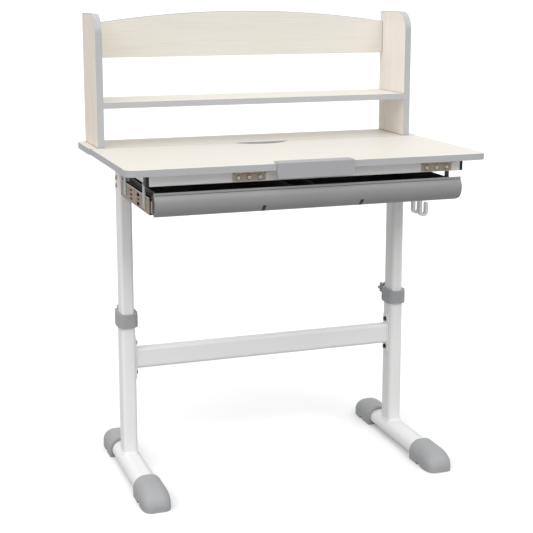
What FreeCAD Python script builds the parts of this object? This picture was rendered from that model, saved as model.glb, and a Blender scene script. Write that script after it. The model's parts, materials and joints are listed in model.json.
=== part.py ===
import FreeCAD, Part
import math
import os

# Study desk with a tilting top, a hutch and a drawer. Millimetres, X right, Y back, Z up, floor at Z 0.

# Overall places
TOP_Z = 743.0
DEPTH = 500.0
REAR_BOARD_W = 806.0
STOP_PROUD = 4.5
COLUMN_INSET = 69.0
COLUMN_SHARE = 0.352
FOOT_SHARE = 0.465
RUN_GAP = 0.3

# Boards and edge bands
BOARD_T = 14.0
REAR_BOARD_FRONT = 1.0
REAR_BOARD_R = 16.0
SEAM_GAP = 1.0
PANEL_END_INSET = 3.0
PANEL_FRONT_R = 22.0
PANEL_REAR_R = 5.0
PANEL_REST_GAP = 0.4
BAND_T = 1.2
CUTOUT_W = 134.0
CUTOUT_D = 36.0

# Hutch
HUTCH_END_INSET = 20.5
HUTCH_H = 296.0
HUTCH_D = 145.0
HUTCH_T = 15.0
HUTCH_CORNER_R = 42.0
HUTCH_REAR_R = 6.0
SHELF_RISE = 101.5
SHELF_T = 13.5
BACK_T = 12.0
BACK_INSET = 1.2
BACK_RISE = 193.0
BACK_END_H = 78.0
BACK_CROWN = 27.5

# Feet
BAR_W = 54.0
BAR_H = 28.0
BAR_R = 21.0
BAR_BASE_R = 4.0
BAR_WALL = 1.6
BAR_LIFT = 10.5
FOOT_SHORT = 54.0
CAP_L = 104.0
CAP_W = 64.0
CAP_H = 46.0
CAP_SHELL = 4.0
CAP_BAR_GRIP = 62.0
CAP_NOTCH_L = 22.0
CAP_NOTCH_H = 6.0
CAP_NOTCH_SHARE = 0.45
CAP_NOTCH_LEAN = 3.0
CAP_SLEEVE_L = 52.0
CAP_NOSE_STEPS = (0.0, 0.25, 0.5, 0.7, 0.85, 0.94, 0.985)
CAP_NOSE_BLUNT = 3.8
CAP_NOSE_FALL = 2.5
CAP_NOSE_T = 22.0
CAP_SHOULDER_R = 27.0
CAP_SHOULDER_SHARE = 0.62
CAP_SOLE_CUT = 2.0
CAP_MOUTH_GAP = 1.6
CAP_MOUTH_L = 5.0
CAP_FIT = 0.1

# Columns
OUTER_W = 33.0
OUTER_D = 47.0
OUTER_R = 9.0
TUBE_WALL = 1.2
SLIDE_GAP = 0.5
OUTER_TOP_Z = 352.0
INNER_LAP = 106.0
SLEEVE_L = 40.0
SLEEVE_FLANGE = 6.0
SLEEVE_WALL = 3.0

# Collars and clamp knobs
COLLAR_WALL = 6.0
COLLAR_LAP = 13.0
COLLAR_DIP_RISE = 17.0
COLLAR_TIP_RISE = 20.5
COLLAR_BOSS_R = 10.0
COLLAR_BOSS_L = 13.0
COLLAR_FIT = 0.05
COLLAR_RIBS = 5
COLLAR_RIB_FOOT = 3.5
COLLAR_RIB_STEP = 5.0
COLLAR_RIB_T = 2.4
COLLAR_RIB_H = 0.5
KNOB_RISE = 8.5
KNOB_R = 13.5
KNOB_LOBES = 6
KNOB_LOBE_R = 3.8
KNOB_T = 14.0
KNOB_HUB_R = 8.0
KNOB_HUB_L = 5.0
KNOB_DISH = 2.5
KNOB_BORE_SHARE = 0.6
STUD_R = 4.0
STUD_FIT = 0.1
STUD_TIP = 0.8

# Crossbar
CROSS_Z = 261.0
CROSS_H = 50.0
CROSS_D = 24.0
CROSS_R = 9.0
CROSS_WALL = 1.2
PLATE_H = 104.0
PLATE_W = 26.0
PLATE_T = 3.0
PLATE_BOLT_RISE = 35.0
BOLT_R = 3.0
BOLT_HEAD_AF = 9.0
BOLT_HEAD_T = 3.2
BOLT_FIT = 0.1
WASHER_R = 5.6
WASHER_T = 0.8

# Upper frame
ARM_W = 20.0
ARM_H = 26.0
ARM_R = 2.0
ARM_WALL = 1.5
ARM_REAR_INSET = 18.0
RAIL_FRONT_INSET = 27.0
RAIL_D = 20.0
RAIL_H = 24.0
RAIL_R = 2.0
RAIL_OVERHANG = 13.0
RAIL_GAP = 0.5
PLUG_T = 7.0
PLUG_IN = 14.0
REAR_RAIL_D = 20.0
SOCKET_L = 52.0
SOCKET_WALL = 2.0
SOCKET_FIT = 0.2
SOCKET_BOLT_LOW = 40.0
SOCKET_BOLT_HIGH = 22.0
SCREW_R = 2.0
SCREW_HEAD_R = 4.0
SCREW_HEAD_T = 1.8
SCREW_CROWN = 0.72
SCREW_BITE = 9.0

# Fasteners of the upper frame
SOCKET_BOLT_R = 3.0
SOCKET_HEAD_R = 5.0
SOCKET_HEAD_T = 3.0
SOCKET_HEAD_CROWN = 0.7
SOCKET_BOLT_FIT = 0.1
BOARD_SCREW_FRONT = 40.0
BOARD_SCREW_REAR = 118.0
HUTCH_SCREW_BITE = 38.0
HUTCH_SCREW_FRONT = 32.0
HUTCH_SCREW_REAR = 112.0
DOWEL_R = 4.0
DOWEL_L = 28.0
DOWEL_IN_SIDE = 9.0

# Hinges, stays and their slots
HINGE_R = 3.2
HINGE_DROP = 4.4
STAY_SHARE = 0.32
STAY_T = 4.0
STAY_PIN_R = 2.5
STAY_SLOT_FIT = 0.1
STAY_SIDE_GAP = 2.5
TILT_MAX = 40.0

# Hinge leaves
HINGE_W = 71.0
HINGE_LEAF_T = 1.6
HINGE_LEAF_H = 18.0
HINGE_LEAF_REACH = 19.0
HINGE_PIN_R = 1.5
HINGE_FIT = 0.08
HINGE_KNUCKLES = 5
HINGE_LEFT_INSET = 266.5
HINGE_RIGHT_INSET = 112.5
HINGE_HEAD_R = 4.6
HINGE_SCREWS = 3

# Stays and their brackets
STAY_HALF_H = 4.0
STAY_FIT = 0.08
STAY_PIN_IN = 4.0
EAR_T = 2.0
EAR_GAP = 0.5
EAR_L = 34.0
EAR_FLANGE_W = 16.0

# Book stop
STOP_W = 171.0
STOP_DROP = 31.0
STOP_LIP_T = 2.5
STOP_LIP_D = 25.0
STOP_CORNER_R = 9.0
STOP_BEND_R = 2.0
STOP_PLATE_GAP = 0.4
TONGUE_X = 52.0
TONGUE_W = 9.0
TONGUE_D = 6.0
TONGUE_RISE = 4.0

# Drawer and slides
DRAWER_END_GAP = 2.0
DRAWER_DROP = 9.5
DRAWER_H = 52.0
DRAWER_LIP_H = 4.5
DRAWER_LIP_PROUD = 1.2
DRAWER_BOW_SHARE = 0.46
DRAWER_TOP_INSET = 12.0
DRAWER_BULGE = 6.5
DRAWER_CURL = 20.0
DRAWER_SKIN = 2.6
DRAWER_CORNER_R = 11.0
SLIT_SHARE = 0.319
SLIT_W = 5.0
SLIT_H = 13.0
SLIDE_H = 35.0
SLIDE_RISE = 3.0
SLIDE_SHARE = 0.518
SLIDE_SET_BACK = 10.0
SLIDE_TAB_IN = 2.5
SLIDE_SHEET = 1.2
SLIDE_DEEP = 9.5
SLIDE_LIP = 2.5
SLIDE_BALL = 1.8
MID_SHORTER = 10.0
MID_SET_BACK = 2.0
INNER_GAP = 1.0
SLOT_L = 18.0
SLOT_H = 4.0
SLOT_ROWS = (-0.54, 0, 0.54)
SLOT_PLACES = (0.37, 0.62)
TRAY_SHARE = 0.538
TRAY_H = 40.0
TRAY_WALL = 2.0
TRAY_LIFT = 3.5
TRAY_R = 6.0
TRAY_FLANGE_T = 3.5
TRAY_FLANGE_INSET = 1.5
CHEEK_T = 3.5
CHEEK_INSET = 0.6
CHEEK_BACK = 24.0
TRAY_FLANGE_DROP = 1.0
DIVIDER_LEFT_X = -35.0
DIVIDER_RIGHT_X = 18.0
DIVIDER_T = 1.8
STRAP_W = 19.0
STRAP_T = 2.0
STRAP_R = 3.0
STRAP_TAB = 17.0
STRAP_LAP = 27.0
STRAP_FRONT_SHARE = 0.163
STRAP_REAR_SHARE = 0.514
RIVET_R = 2.2
RIVET_HEAD_R = 4.5
RIVET_HEAD_T = 1.6
RIVET_CROWN = 0.6

# Bag hook
HOOK_PLATE_T = 3.0
HOOK_PLATE_H = 30.0
HOOK_LOW = 100.0
HOOK_DROP = 36.0
HOOK_OUT = 21.2
HOOK_T = 7.0
HOOK_SEAT = 1.0
HOOK_STRIP = 11.0
HOOK_TIP = 33.0
HOOK_BEND_R = 9.0
HOOK_PLATE_R = 4.0
HOOK_FORE = 95.0
HOOK_APART = 36.0

# Sizes that follow from the ones above
REAR_Y = (DEPTH + STOP_PROUD) / 2
FRONT_Y = REAR_Y - DEPTH
COLUMN_X = REAR_BOARD_W / 2 - COLUMN_INSET
COLUMN_Y = REAR_Y - DEPTH * COLUMN_SHARE
FOOT_MID_Y = REAR_Y - DEPTH * FOOT_SHARE
FOOT_L = DEPTH - FOOT_SHORT
REAR_BOARD_D = HUTCH_D + REAR_BOARD_FRONT
PANEL_W = REAR_BOARD_W - 2 * PANEL_END_INSET
HUTCH_W = REAR_BOARD_W - 2 * HUTCH_END_INSET
INNER_BOTTOM_Z = OUTER_TOP_Z - INNER_LAP
COLLAR_BOTTOM_Z = OUTER_TOP_Z - COLLAR_LAP
COLLAR_DIP_Z = OUTER_TOP_Z + COLLAR_DIP_RISE
COLLAR_TIP_Z = OUTER_TOP_Z + COLLAR_TIP_RISE
KNOB_Z = OUTER_TOP_Z + KNOB_RISE
RAIL_HALF = COLUMN_X + RAIL_OVERHANG
SLIDE_X = COLUMN_X + ARM_W / 2
DRAWER_HALF = SLIDE_X - DRAWER_END_GAP
SLIT_X = DRAWER_HALF * SLIT_SHARE
SLIDE_L = DEPTH * SLIDE_SHARE
TRAY_L = DEPTH * TRAY_SHARE
STAY_L = DEPTH * STAY_SHARE
STOP_BOTTOM_Z = TOP_Z - STOP_DROP
HINGE_LEFT_X = HINGE_LEFT_INSET - REAR_BOARD_W / 2
HINGE_RIGHT_X = REAR_BOARD_W / 2 - HINGE_RIGHT_INSET
BAR_Z = BAR_LIFT + BAR_H / 2
INNER_W = OUTER_W - 2 * (TUBE_WALL + SLIDE_GAP)
INNER_D = OUTER_D - 2 * (TUBE_WALL + SLIDE_GAP)
INNER_R = OUTER_R - TUBE_WALL - SLIDE_GAP
BOARD_Z = TOP_Z - BOARD_T
ARM_Z = BOARD_Z - ARM_H
DRAWER_TOP_Z = ARM_Z - DRAWER_DROP
DRAWER_BOTTOM_Z = DRAWER_TOP_Z - DRAWER_H
SLIDE_BOTTOM_Z = DRAWER_BOTTOM_Z + SLIDE_RISE
HOOK_PLATE_Z = ARM_Z - HOOK_LOW
RAIL_TOP_Z = BOARD_Z - RAIL_GAP
RAIL_Y = FRONT_Y + RAIL_FRONT_INSET
PANEL_Z = BOARD_Z + PANEL_REST_GAP
HINGE_Y = RAIL_Y - HINGE_R
HINGE_Z = PANEL_Z - HINGE_DROP
STAY_X = COLUMN_X - ARM_W / 2 - STAY_SIDE_GAP - STAY_T
ARM_FRONT_Y = RAIL_Y + RAIL_D
ARM_BACK_Y = REAR_Y - ARM_REAR_INSET
SEAM_Y = REAR_Y - REAR_BOARD_D
SIDE_X = HUTCH_W / 2
SHELF_Z = TOP_Z + SHELF_RISE
PANEL_BACK_Y = SEAM_Y - SEAM_GAP
PANEL_T = TOP_Z - PANEL_Z
LEAF_SPOTS = (HINGE_LEFT_X, HINGE_RIGHT_X)


def vec(x, y, z):
    return FreeCAD.Vector(x, y, z)


def box(x0, x1, y0, y1, z0, z1):
    """Block between two corners, given as low and high along X, Y and Z."""
    return Part.makeBox(x1 - x0, y1 - y0, z1 - z0, vec(x0, y0, z0))


def rod(base, axis, radius, length):
    return Part.makeCylinder(radius, length, base, axis)


def outline(points):
    """Closed wire through (u, v, radius) corners in the XY plane, each corner rounded to its radius."""
    n = len(points)
    edges = []
    ends = []
    for i in range(n):
        px, py, r = points[i]
        ax, ay, _ = points[i - 1]
        bx, by, _ = points[(i + 1) % n]
        here = vec(px, py, 0)
        a = (vec(ax, ay, 0) - here).normalize()
        b = (vec(bx, by, 0) - here).normalize()
        if r <= 0:
            ends.append((here, None, here))
            continue
        half = a.getAngle(b) / 2
        reach = r / math.tan(half)
        mid_way = (a + b).normalize()
        middle = here + mid_way * (r / math.sin(half) - r)
        ends.append((here + a * reach, middle, here + b * reach))
    for i in range(n):
        start, middle, stop = ends[i]
        if middle is not None:
            edges.append(Part.Arc(start, middle, stop).toShape())
        following = ends[(i + 1) % n][0]
        if (following - stop).Length > 1e-6:
            edges.append(Part.LineSegment(stop, following).toShape())
    return Part.Wire(edges)


def prism(points, height):
    """Straight body of an outline in XY, from Z 0 up to height."""
    return Part.Face(outline(points)).extrude(vec(0, 0, height))


def rect(w, d, r):
    """Corner list of a rectangle about the origin with rounded corners."""
    return [(-w / 2, -d / 2, r), (w / 2, -d / 2, r), (w / 2, d / 2, r), (-w / 2, d / 2, r)]


def bar(w, d, r, length):
    return prism(rect(w, d, r), length)


def tube(w, d, r, wall, length):
    """Hollow section about the Z axis, open at both ends."""
    hollow = bar(w - 2 * wall, d - 2 * wall, max(r - wall, 0.4), length + 2)
    hollow.translate(vec(0, 0, -1))
    return bar(w, d, r, length).cut(hollow)


def along_y(shape):
    """Turn a body that stands along Z so that it runs along +Y, with its own Y pointing down."""
    shape.rotate(vec(0, 0, 0), vec(1, 0, 0), -90)
    return shape


def along_x(shape):
    """Turn a body that stands along Z so that it runs along +X, with its own X pointing down."""
    shape.rotate(vec(0, 0, 0), vec(0, 1, 0), 90)
    return shape


def moved(shape, x, y, z):
    shape.translate(vec(x, y, z))
    return shape


def mirror_x(shape):
    return shape.mirror(vec(0, 0, 0), vec(1, 0, 0))


def pair(name, left):
    """Save a left-hand piece and its mirror image."""
    save(name + "_left", left)
    save(name + "_right", mirror_x(left))


def save(name, shape):
    shape = shape.removeSplitter()
    if shape.ShapeType == "Compound" and len(shape.Solids) == 1:
        shape = shape.Solids[0]
    shape.exportStep("parts/" + name + ".step")


def group(shapes):
    return Part.makeCompound(shapes)


def hexagon(across, height):
    corner = across / math.sqrt(3)
    points = [(corner * math.cos(math.pi / 3 * k), corner * math.sin(math.pi / 3 * k), 0) for k in range(6)]
    return prism(points, height)


def screw(x, y, z, bite):
    """Pan-head screw driven upward: its head sits below the face at Z and its shank goes up by bite."""
    up = vec(0, 0, 1)
    crown = SCREW_HEAD_R * SCREW_CROWN
    head = Part.makeCone(crown, SCREW_HEAD_R, SCREW_HEAD_T, vec(x, y, z - SCREW_HEAD_T), up)
    return head.fuse(rod(vec(x, y, z), up, SCREW_R, bite))


def in_yz(points, x0, x1):
    """Body of an outline given as (y, z, radius), between two X planes."""
    piece = prism(points, x1 - x0)
    piece.rotate(vec(0, 0, 0), vec(1, 1, 1), 120)
    return moved(piece, x0, 0, 0)


def in_xz(points, y0, y1):
    """Body of an outline given as (x, z, radius), between two Y planes."""
    piece = prism(points, y1 - y0)
    piece.rotate(vec(0, 0, 0), vec(1, 0, 0), 90)
    return moved(piece, 0, y1, 0)


def long_hole(y0, y1, z, r, x0, x1):
    """Round-ended bar along Y between two centres, through two X planes."""
    ends = rod(vec(x0, y0, z), vec(1, 0, 0), r, x1 - x0).fuse(rod(vec(x0, y1, z), vec(1, 0, 0), r, x1 - x0))
    return ends.fuse(box(x0, x1, y0, y1, z - r, z + r)).removeSplitter()


def drill(shape, tools):
    for tool in tools:
        shape = shape.cut(tool)
    return shape


def bar_section(grow):
    """Corner list (x, z) of the foot bar's section: a round back over a flat base, grown outward all round."""
    w = BAR_W / 2 + grow
    low = BAR_LIFT - grow
    high = BAR_LIFT + BAR_H + grow
    foot = max(BAR_BASE_R + grow, 0.4)
    return [(-w, low, foot), (w, low, foot), (w, high, BAR_R + grow), (-w, high, BAR_R + grow)]


def foot_bar():
    """Round-backed tube on which the column stands, its ends inside the caps."""
    length = FOOT_L - 2 * (CAP_L - CAP_BAR_GRIP)
    piece = in_xz(bar_section(0), 0, length).cut(in_xz(bar_section(-BAR_WALL), -1, length + 1))
    return moved(piece, -COLUMN_X, FOOT_MID_Y - length / 2, 0)


def cap_section(y, spread, lift):
    """Wire of the cap's section at Y: an arch, narrowed by spread and lowered by lift, that passes the floor."""
    half = CAP_W / 2 * spread
    high = CAP_H * lift
    low = -CAP_SOLE_CUT
    crown = min(CAP_SHOULDER_R * spread, high * CAP_SHOULDER_SHARE)
    wire = outline([(-half, low, 0), (half, low, 0), (half, high, crown), (-half, high, crown)])
    wire.rotate(vec(0, 0, 0), vec(1, 0, 0), 90)
    wire.translate(vec(0, y, 0))
    return wire


def foot_cap(front):
    """Slip-on slipper cap: a straight sleeve and a lofted nose, a pocket for the bar and an arch below."""
    half = CAP_W / 2
    sleeve = Part.Face(cap_section(0, 1, 1)).extrude(vec(0, CAP_SLEEVE_L, 0))
    nose_l = CAP_L - CAP_SLEEVE_L
    rings = []
    for way in CAP_NOSE_STEPS:
        spread = (1 - way ** CAP_NOSE_BLUNT) ** (1 / CAP_NOSE_BLUNT)
        lift = (1 - way ** CAP_NOSE_FALL) ** (1 / CAP_NOSE_FALL)
        rings.append(cap_section(CAP_SLEEVE_L + nose_l * way, spread, lift))
    block = sleeve.fuse(Part.makeLoft(rings, True, False))
    block = block.cut(box(-CAP_W, CAP_W, -1, CAP_L + 1, -2 * CAP_SOLE_CUT, 0)).removeSplitter()
    block = block.cut(in_xz(bar_section(CAP_FIT), -1, CAP_BAR_GRIP))
    block = block.cut(in_xz(bar_section(CAP_MOUTH_GAP), -1, CAP_MOUTH_L))
    room = in_xz(bar_section(-CAP_SHELL), CAP_BAR_GRIP - 0.5, CAP_L - CAP_NOSE_T)
    block = block.cut(room)
    wide = CAP_NOTCH_L / 2
    lean = CAP_NOTCH_LEAN
    arch = [(-wide, -CAP_NOTCH_H, 0), (wide, -CAP_NOTCH_H, 0)]
    arch += [(wide - lean, CAP_NOTCH_H, lean), (lean - wide, CAP_NOTCH_H, lean)]
    notch = in_yz(arch, -half - 1, half + 1)
    block = block.cut(moved(notch, 0, CAP_L * CAP_NOTCH_SHARE, 0))
    if front:
        block = block.mirror(vec(0, 0, 0), vec(0, 1, 0))
        return moved(block, -COLUMN_X, FOOT_MID_Y - FOOT_L / 2 + CAP_L, 0)
    return moved(block, -COLUMN_X, FOOT_MID_Y + FOOT_L / 2 - CAP_L, 0)


def crossbar_bolt_hole(rise, length):
    return rod(vec(-COLUMN_X, COLUMN_Y, CROSS_Z + rise), vec(1, 0, 0), BOLT_R + BOLT_FIT, length)


def lower_column():
    """Outer tube, coped over the round of the foot bar and drilled for the crossbar bolts."""
    post = tube(OUTER_W, OUTER_D, OUTER_R, TUBE_WALL, OUTER_TOP_Z - BAR_Z)
    post = moved(post, -COLUMN_X, COLUMN_Y, BAR_Z)
    seat = in_xz(bar_section(0), COLUMN_Y - OUTER_D, COLUMN_Y + OUTER_D)
    post = post.cut(moved(seat, -COLUMN_X, 0, 0))
    for rise in (-PLATE_BOLT_RISE, PLATE_BOLT_RISE):
        post = post.cut(crossbar_bolt_hole(rise, OUTER_W))
    return post


def collar():
    """Saddle-topped, ribbed sleeve: its skirt grips the lower tube, its throat guides the inner one."""
    w = OUTER_W + 2 * COLLAR_WALL
    d = OUTER_D + 2 * COLLAR_WALL
    r = OUTER_R + COLLAR_WALL
    body = moved(bar(w, d, r, COLLAR_TIP_Z - COLLAR_BOTTOM_Z), 0, 0, COLLAR_BOTTOM_Z)
    for k in range(COLLAR_RIBS):
        z = COLLAR_BOTTOM_Z + COLLAR_RIB_FOOT + k * COLLAR_RIB_STEP
        rib = moved(bar(w + 2 * COLLAR_RIB_H, d + 2 * COLLAR_RIB_H, r + COLLAR_RIB_H, COLLAR_RIB_T), 0, 0, z)
        body = body.fuse(rib)
    rise = COLLAR_TIP_Z - COLLAR_DIP_Z
    saddle = ((w / 2) ** 2 + rise ** 2) / (2 * rise)
    body = body.cut(rod(vec(0, -d, COLLAR_DIP_Z + saddle), vec(0, 1, 0), saddle, 2 * d))
    boss_y = d / 2 - COLLAR_WALL
    boss = rod(vec(0, boss_y, KNOB_Z), vec(0, 1, 0), COLLAR_BOSS_R, COLLAR_BOSS_L + COLLAR_WALL)
    body = body.fuse(boss)
    fit = COLLAR_FIT
    skirt = bar(OUTER_W + 2 * fit, OUTER_D + 2 * fit, OUTER_R + fit, OUTER_TOP_Z - COLLAR_BOTTOM_Z + 1)
    body = body.cut(moved(skirt, 0, 0, COLLAR_BOTTOM_Z - 1))
    throat = bar(INNER_W + 2 * RUN_GAP, INNER_D + 2 * RUN_GAP, INNER_R + RUN_GAP, COLLAR_TIP_Z)
    body = body.cut(moved(throat, 0, 0, COLLAR_BOTTOM_Z))
    body = body.cut(rod(vec(0, 0, KNOB_Z), vec(0, 1, 0), STUD_R + STUD_FIT, d))
    return moved(body, -COLUMN_X, COLUMN_Y, 0)


def knob_start():
    """Y of the face of the clamp knob's hub, just clear of the collar's boss."""
    return COLUMN_Y + OUTER_D / 2 + COLLAR_WALL + COLLAR_BOSS_L + RUN_GAP


def clamp_knob():
    """Star knob: lobes round a dished disc, with a hub towards the collar."""
    way = vec(0, 1, 0)
    body = rod(vec(0, KNOB_HUB_L, 0), way, KNOB_R - KNOB_LOBE_R, KNOB_T)
    for k in range(KNOB_LOBES):
        turn = 2 * math.pi * k / KNOB_LOBES
        reach = KNOB_R - KNOB_LOBE_R
        lobe_at = vec(reach * math.cos(turn), KNOB_HUB_L, reach * math.sin(turn))
        body = body.fuse(rod(lobe_at, way, KNOB_LOBE_R, KNOB_T))
    body = body.fuse(rod(vec(0, 0, 0), way, KNOB_HUB_R, KNOB_HUB_L + 1))
    dish = Part.makeSphere(2 * KNOB_R, vec(0, KNOB_HUB_L + KNOB_T + 2 * KNOB_R - KNOB_DISH, 0))
    body = body.cut(dish)
    body = body.cut(rod(vec(0, -1, 0), way, STUD_R, KNOB_HUB_L + KNOB_T * KNOB_BORE_SHARE + 1))
    return moved(body, -COLUMN_X, knob_start(), KNOB_Z)


def clamp_stud():
    """Threaded stud of the knob, its tip just short of the inner column."""
    tip = COLUMN_Y + INNER_D / 2 + RUN_GAP
    end = knob_start() + KNOB_HUB_L + KNOB_T * KNOB_BORE_SHARE
    body = rod(vec(-COLUMN_X, tip, KNOB_Z), vec(0, 1, 0), STUD_R, end - tip)
    return body.makeChamfer(STUD_TIP, body.Edges[-1:])


def crossbar():
    """Tube with a bolting plate welded to each end."""
    reach = COLUMN_X - OUTER_W / 2 - PLATE_T
    piece = along_x(tube(CROSS_H, CROSS_D, CROSS_R, CROSS_WALL, 2 * reach))
    piece = moved(piece, -reach, COLUMN_Y, CROSS_Z)
    return piece.fuse(crossbar_plate()).fuse(mirror_x(crossbar_plate()))


def crossbar_plate():
    """Round-ended plate welded to the crossbar and bolted to the column."""
    piece = along_x(bar(PLATE_H, PLATE_W, PLATE_W / 2 - 1, PLATE_T))
    piece = moved(piece, -COLUMN_X + OUTER_W / 2, COLUMN_Y, CROSS_Z)
    for rise in (-PLATE_BOLT_RISE, PLATE_BOLT_RISE):
        piece = piece.cut(crossbar_bolt_hole(rise, 2 * OUTER_W))
    return piece


def crossbar_bolt(side, rise):
    """Hexagon bolt through the plate and the near wall of the column."""
    face = COLUMN_X - OUTER_W / 2 - PLATE_T
    head = along_x(hexagon(BOLT_HEAD_AF, BOLT_HEAD_T))
    washer = along_x(rod(vec(0, 0, 0), vec(0, 0, 1), WASHER_R, WASHER_T))
    body = moved(head, WASHER_T, 0, 0).fuse(washer)
    body = body.fuse(rod(vec(WASHER_T, 0, 0), vec(-1, 0, 0), BOLT_R, PLATE_T + TUBE_WALL + WASHER_T))
    body = moved(body, -face, COLUMN_Y, CROSS_Z + rise)
    return body if side < 0 else mirror_x(body)


def inner_column():
    piece = tube(INNER_W, INNER_D, INNER_R, TUBE_WALL, ARM_Z - INNER_BOTTOM_Z)
    piece = moved(piece, -COLUMN_X, COLUMN_Y, INNER_BOTTOM_Z)
    return drill(piece, [socket_bolt_hole(drop) for drop in (SOCKET_BOLT_HIGH, SOCKET_BOLT_LOW)])


def socket_bolt_hole(drop):
    at = vec(-COLUMN_X, COLUMN_Y, ARM_Z - drop)
    return rod(at, vec(-1, 0, 0), SOCKET_BOLT_R + SOCKET_BOLT_FIT, OUTER_W)


def socket_bolt(side, drop):
    """Pan-head bolt through the outer wall of the inner column into the arm's socket."""
    face = COLUMN_X + INNER_W / 2
    at = vec(-face, COLUMN_Y, ARM_Z - drop)
    crown = SOCKET_HEAD_R * SOCKET_HEAD_CROWN
    head = Part.makeCone(SOCKET_HEAD_R, crown, SOCKET_HEAD_T, at, vec(-1, 0, 0))
    shank_l = TUBE_WALL + SOCKET_FIT + SOCKET_WALL
    body = head.fuse(rod(at, vec(1, 0, 0), SOCKET_BOLT_R, shank_l))
    return body if side < 0 else mirror_x(body)


def arm_socket():
    """Stub tube under the arm that plugs into the top of the inner column."""
    inset = 2 * (TUBE_WALL + SOCKET_FIT)
    stub = tube(INNER_W - inset, INNER_D - inset, INNER_R - inset / 2, SOCKET_WALL, SOCKET_L)
    stub = moved(stub, -COLUMN_X, COLUMN_Y, ARM_Z - SOCKET_L)
    return drill(stub, [socket_bolt_hole(drop) for drop in (SOCKET_BOLT_HIGH, SOCKET_BOLT_LOW)])


def column_sleeve():
    """Plastic plug in the lower end of the inner column; its flange runs inside the lower tube."""
    cavity = 2 * (TUBE_WALL + RUN_GAP)
    flange = bar(OUTER_W - cavity, OUTER_D - cavity, OUTER_R - cavity / 2, SLEEVE_FLANGE)
    flange = moved(flange, 0, 0, -SLEEVE_FLANGE)
    neck_w = INNER_W - 2 * TUBE_WALL
    neck_d = INNER_D - 2 * TUBE_WALL
    neck_r = INNER_R - TUBE_WALL
    neck = bar(neck_w, neck_d, neck_r, SLEEVE_L - SLEEVE_FLANGE)
    wall = SLEEVE_WALL
    bore = bar(neck_w - 2 * wall, neck_d - 2 * wall, neck_r - wall, 2 * SLEEVE_L)
    bore = moved(bore, 0, 0, -SLEEVE_L)
    return moved(flange.fuse(neck).cut(bore), -COLUMN_X, COLUMN_Y, INNER_BOTTOM_Z)


def board_screws():
    """Long screws from under the arms into the rear board."""
    made = []
    for x in (-COLUMN_X, COLUMN_X):
        for y in (REAR_Y - BOARD_SCREW_FRONT, REAR_Y - BOARD_SCREW_REAR):
            made.append(screw(x, y, ARM_Z, ARM_H + SCREW_BITE))
    return made


def hutch_screws():
    """Screws from under the rear board up into the lower ends of the hutch sides."""
    made = []
    for x in (-SIDE_X + HUTCH_T / 2, SIDE_X - HUTCH_T / 2):
        for y in (REAR_Y - HUTCH_SCREW_FRONT, REAR_Y - HUTCH_SCREW_REAR):
            made.append(screw(x, y, BOARD_Z, HUTCH_SCREW_BITE))
    return made


def hutch_dowels():
    """Wooden dowels that join the shelf and the back to both sides."""
    spots = []
    for y in (REAR_Y - HUTCH_SCREW_FRONT, REAR_Y - HUTCH_SCREW_REAR):
        spots.append((y, SHELF_Z - SHELF_T / 2))
    for rise in (BACK_END_H * 0.25, BACK_END_H * 0.75):
        spots.append((REAR_Y - BACK_INSET - BACK_T / 2, TOP_Z + BACK_RISE + rise))
    made = []
    for y, z in spots:
        left = rod(vec(-SIDE_X + HUTCH_T - DOWEL_IN_SIDE, y, z), vec(1, 0, 0), DOWEL_R, DOWEL_L)
        made += [left, mirror_x(left)]
    return made


def side_arm():
    """Tube under the boards, slotted on its inner wall for the pin of the tilt stay."""
    piece = along_y(tube(ARM_W, ARM_H, ARM_R, ARM_WALL, ARM_BACK_Y - ARM_FRONT_Y))
    piece = moved(piece, -COLUMN_X, ARM_FRONT_Y, ARM_Z + ARM_H / 2)
    back = HINGE_Y + 2 * STAY_L
    front = HINGE_Y + 2 * STAY_L * math.cos(math.radians(TILT_MAX))
    r = STAY_PIN_R + STAY_SLOT_FIT
    piece = piece.cut(long_hole(front, back, HINGE_Z, r, -COLUMN_X, -COLUMN_X + ARM_W))
    return drill(piece, board_screws() + strap_rivets())


def front_rail():
    piece = along_x(tube(RAIL_H, RAIL_D, RAIL_R, ARM_WALL, 2 * RAIL_HALF))
    return moved(piece, -RAIL_HALF, RAIL_Y + RAIL_D / 2, RAIL_TOP_Z - RAIL_H / 2)


def rail_plug(side):
    """End plug of the front rail: a flange with a barbed stub inside the tube."""
    flange = along_x(bar(RAIL_H, RAIL_D, RAIL_R, PLUG_T))
    stub = along_x(bar(RAIL_H - 2 * ARM_WALL, RAIL_D - 2 * ARM_WALL, 0.5, PLUG_IN))
    body = flange.fuse(moved(stub, PLUG_T, 0, 0))
    body = moved(body, -RAIL_HALF - PLUG_T, RAIL_Y + RAIL_D / 2, RAIL_TOP_Z - RAIL_H / 2)
    return body if side < 0 else mirror_x(body)


def rear_rail():
    reach = COLUMN_X - ARM_W / 2
    piece = along_x(tube(REAR_RAIL_D, REAR_RAIL_D, ARM_R, ARM_WALL, 2 * reach))
    return moved(piece, -reach, ARM_BACK_Y - REAR_RAIL_D / 2, BOARD_Z - REAR_RAIL_D / 2)


def rear_board_body(inset):
    w = REAR_BOARD_W / 2 - inset
    r = REAR_BOARD_R - inset
    front = SEAM_Y + inset
    back = REAR_Y - inset
    points = [(-w, front, r), (w, front, r), (w, back, r), (-w, back, r)]
    return moved(prism(points, BOARD_T), 0, 0, BOARD_Z)


def hutch_side_body(inset):
    front = REAR_Y - HUTCH_D + inset
    back = REAR_Y - inset
    top = TOP_Z + HUTCH_H - inset
    points = [(front, TOP_Z, 0), (back, TOP_Z, 0)]
    points += [(back, top, HUTCH_REAR_R - inset), (front, top, HUTCH_CORNER_R - inset)]
    return in_yz(points, -SIDE_X, -SIDE_X + HUTCH_T)


def shelf_body():
    reach = SIDE_X - HUTCH_T
    return box(-reach, reach, REAR_Y - HUTCH_D, REAR_Y, SHELF_Z - SHELF_T, SHELF_Z)


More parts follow.
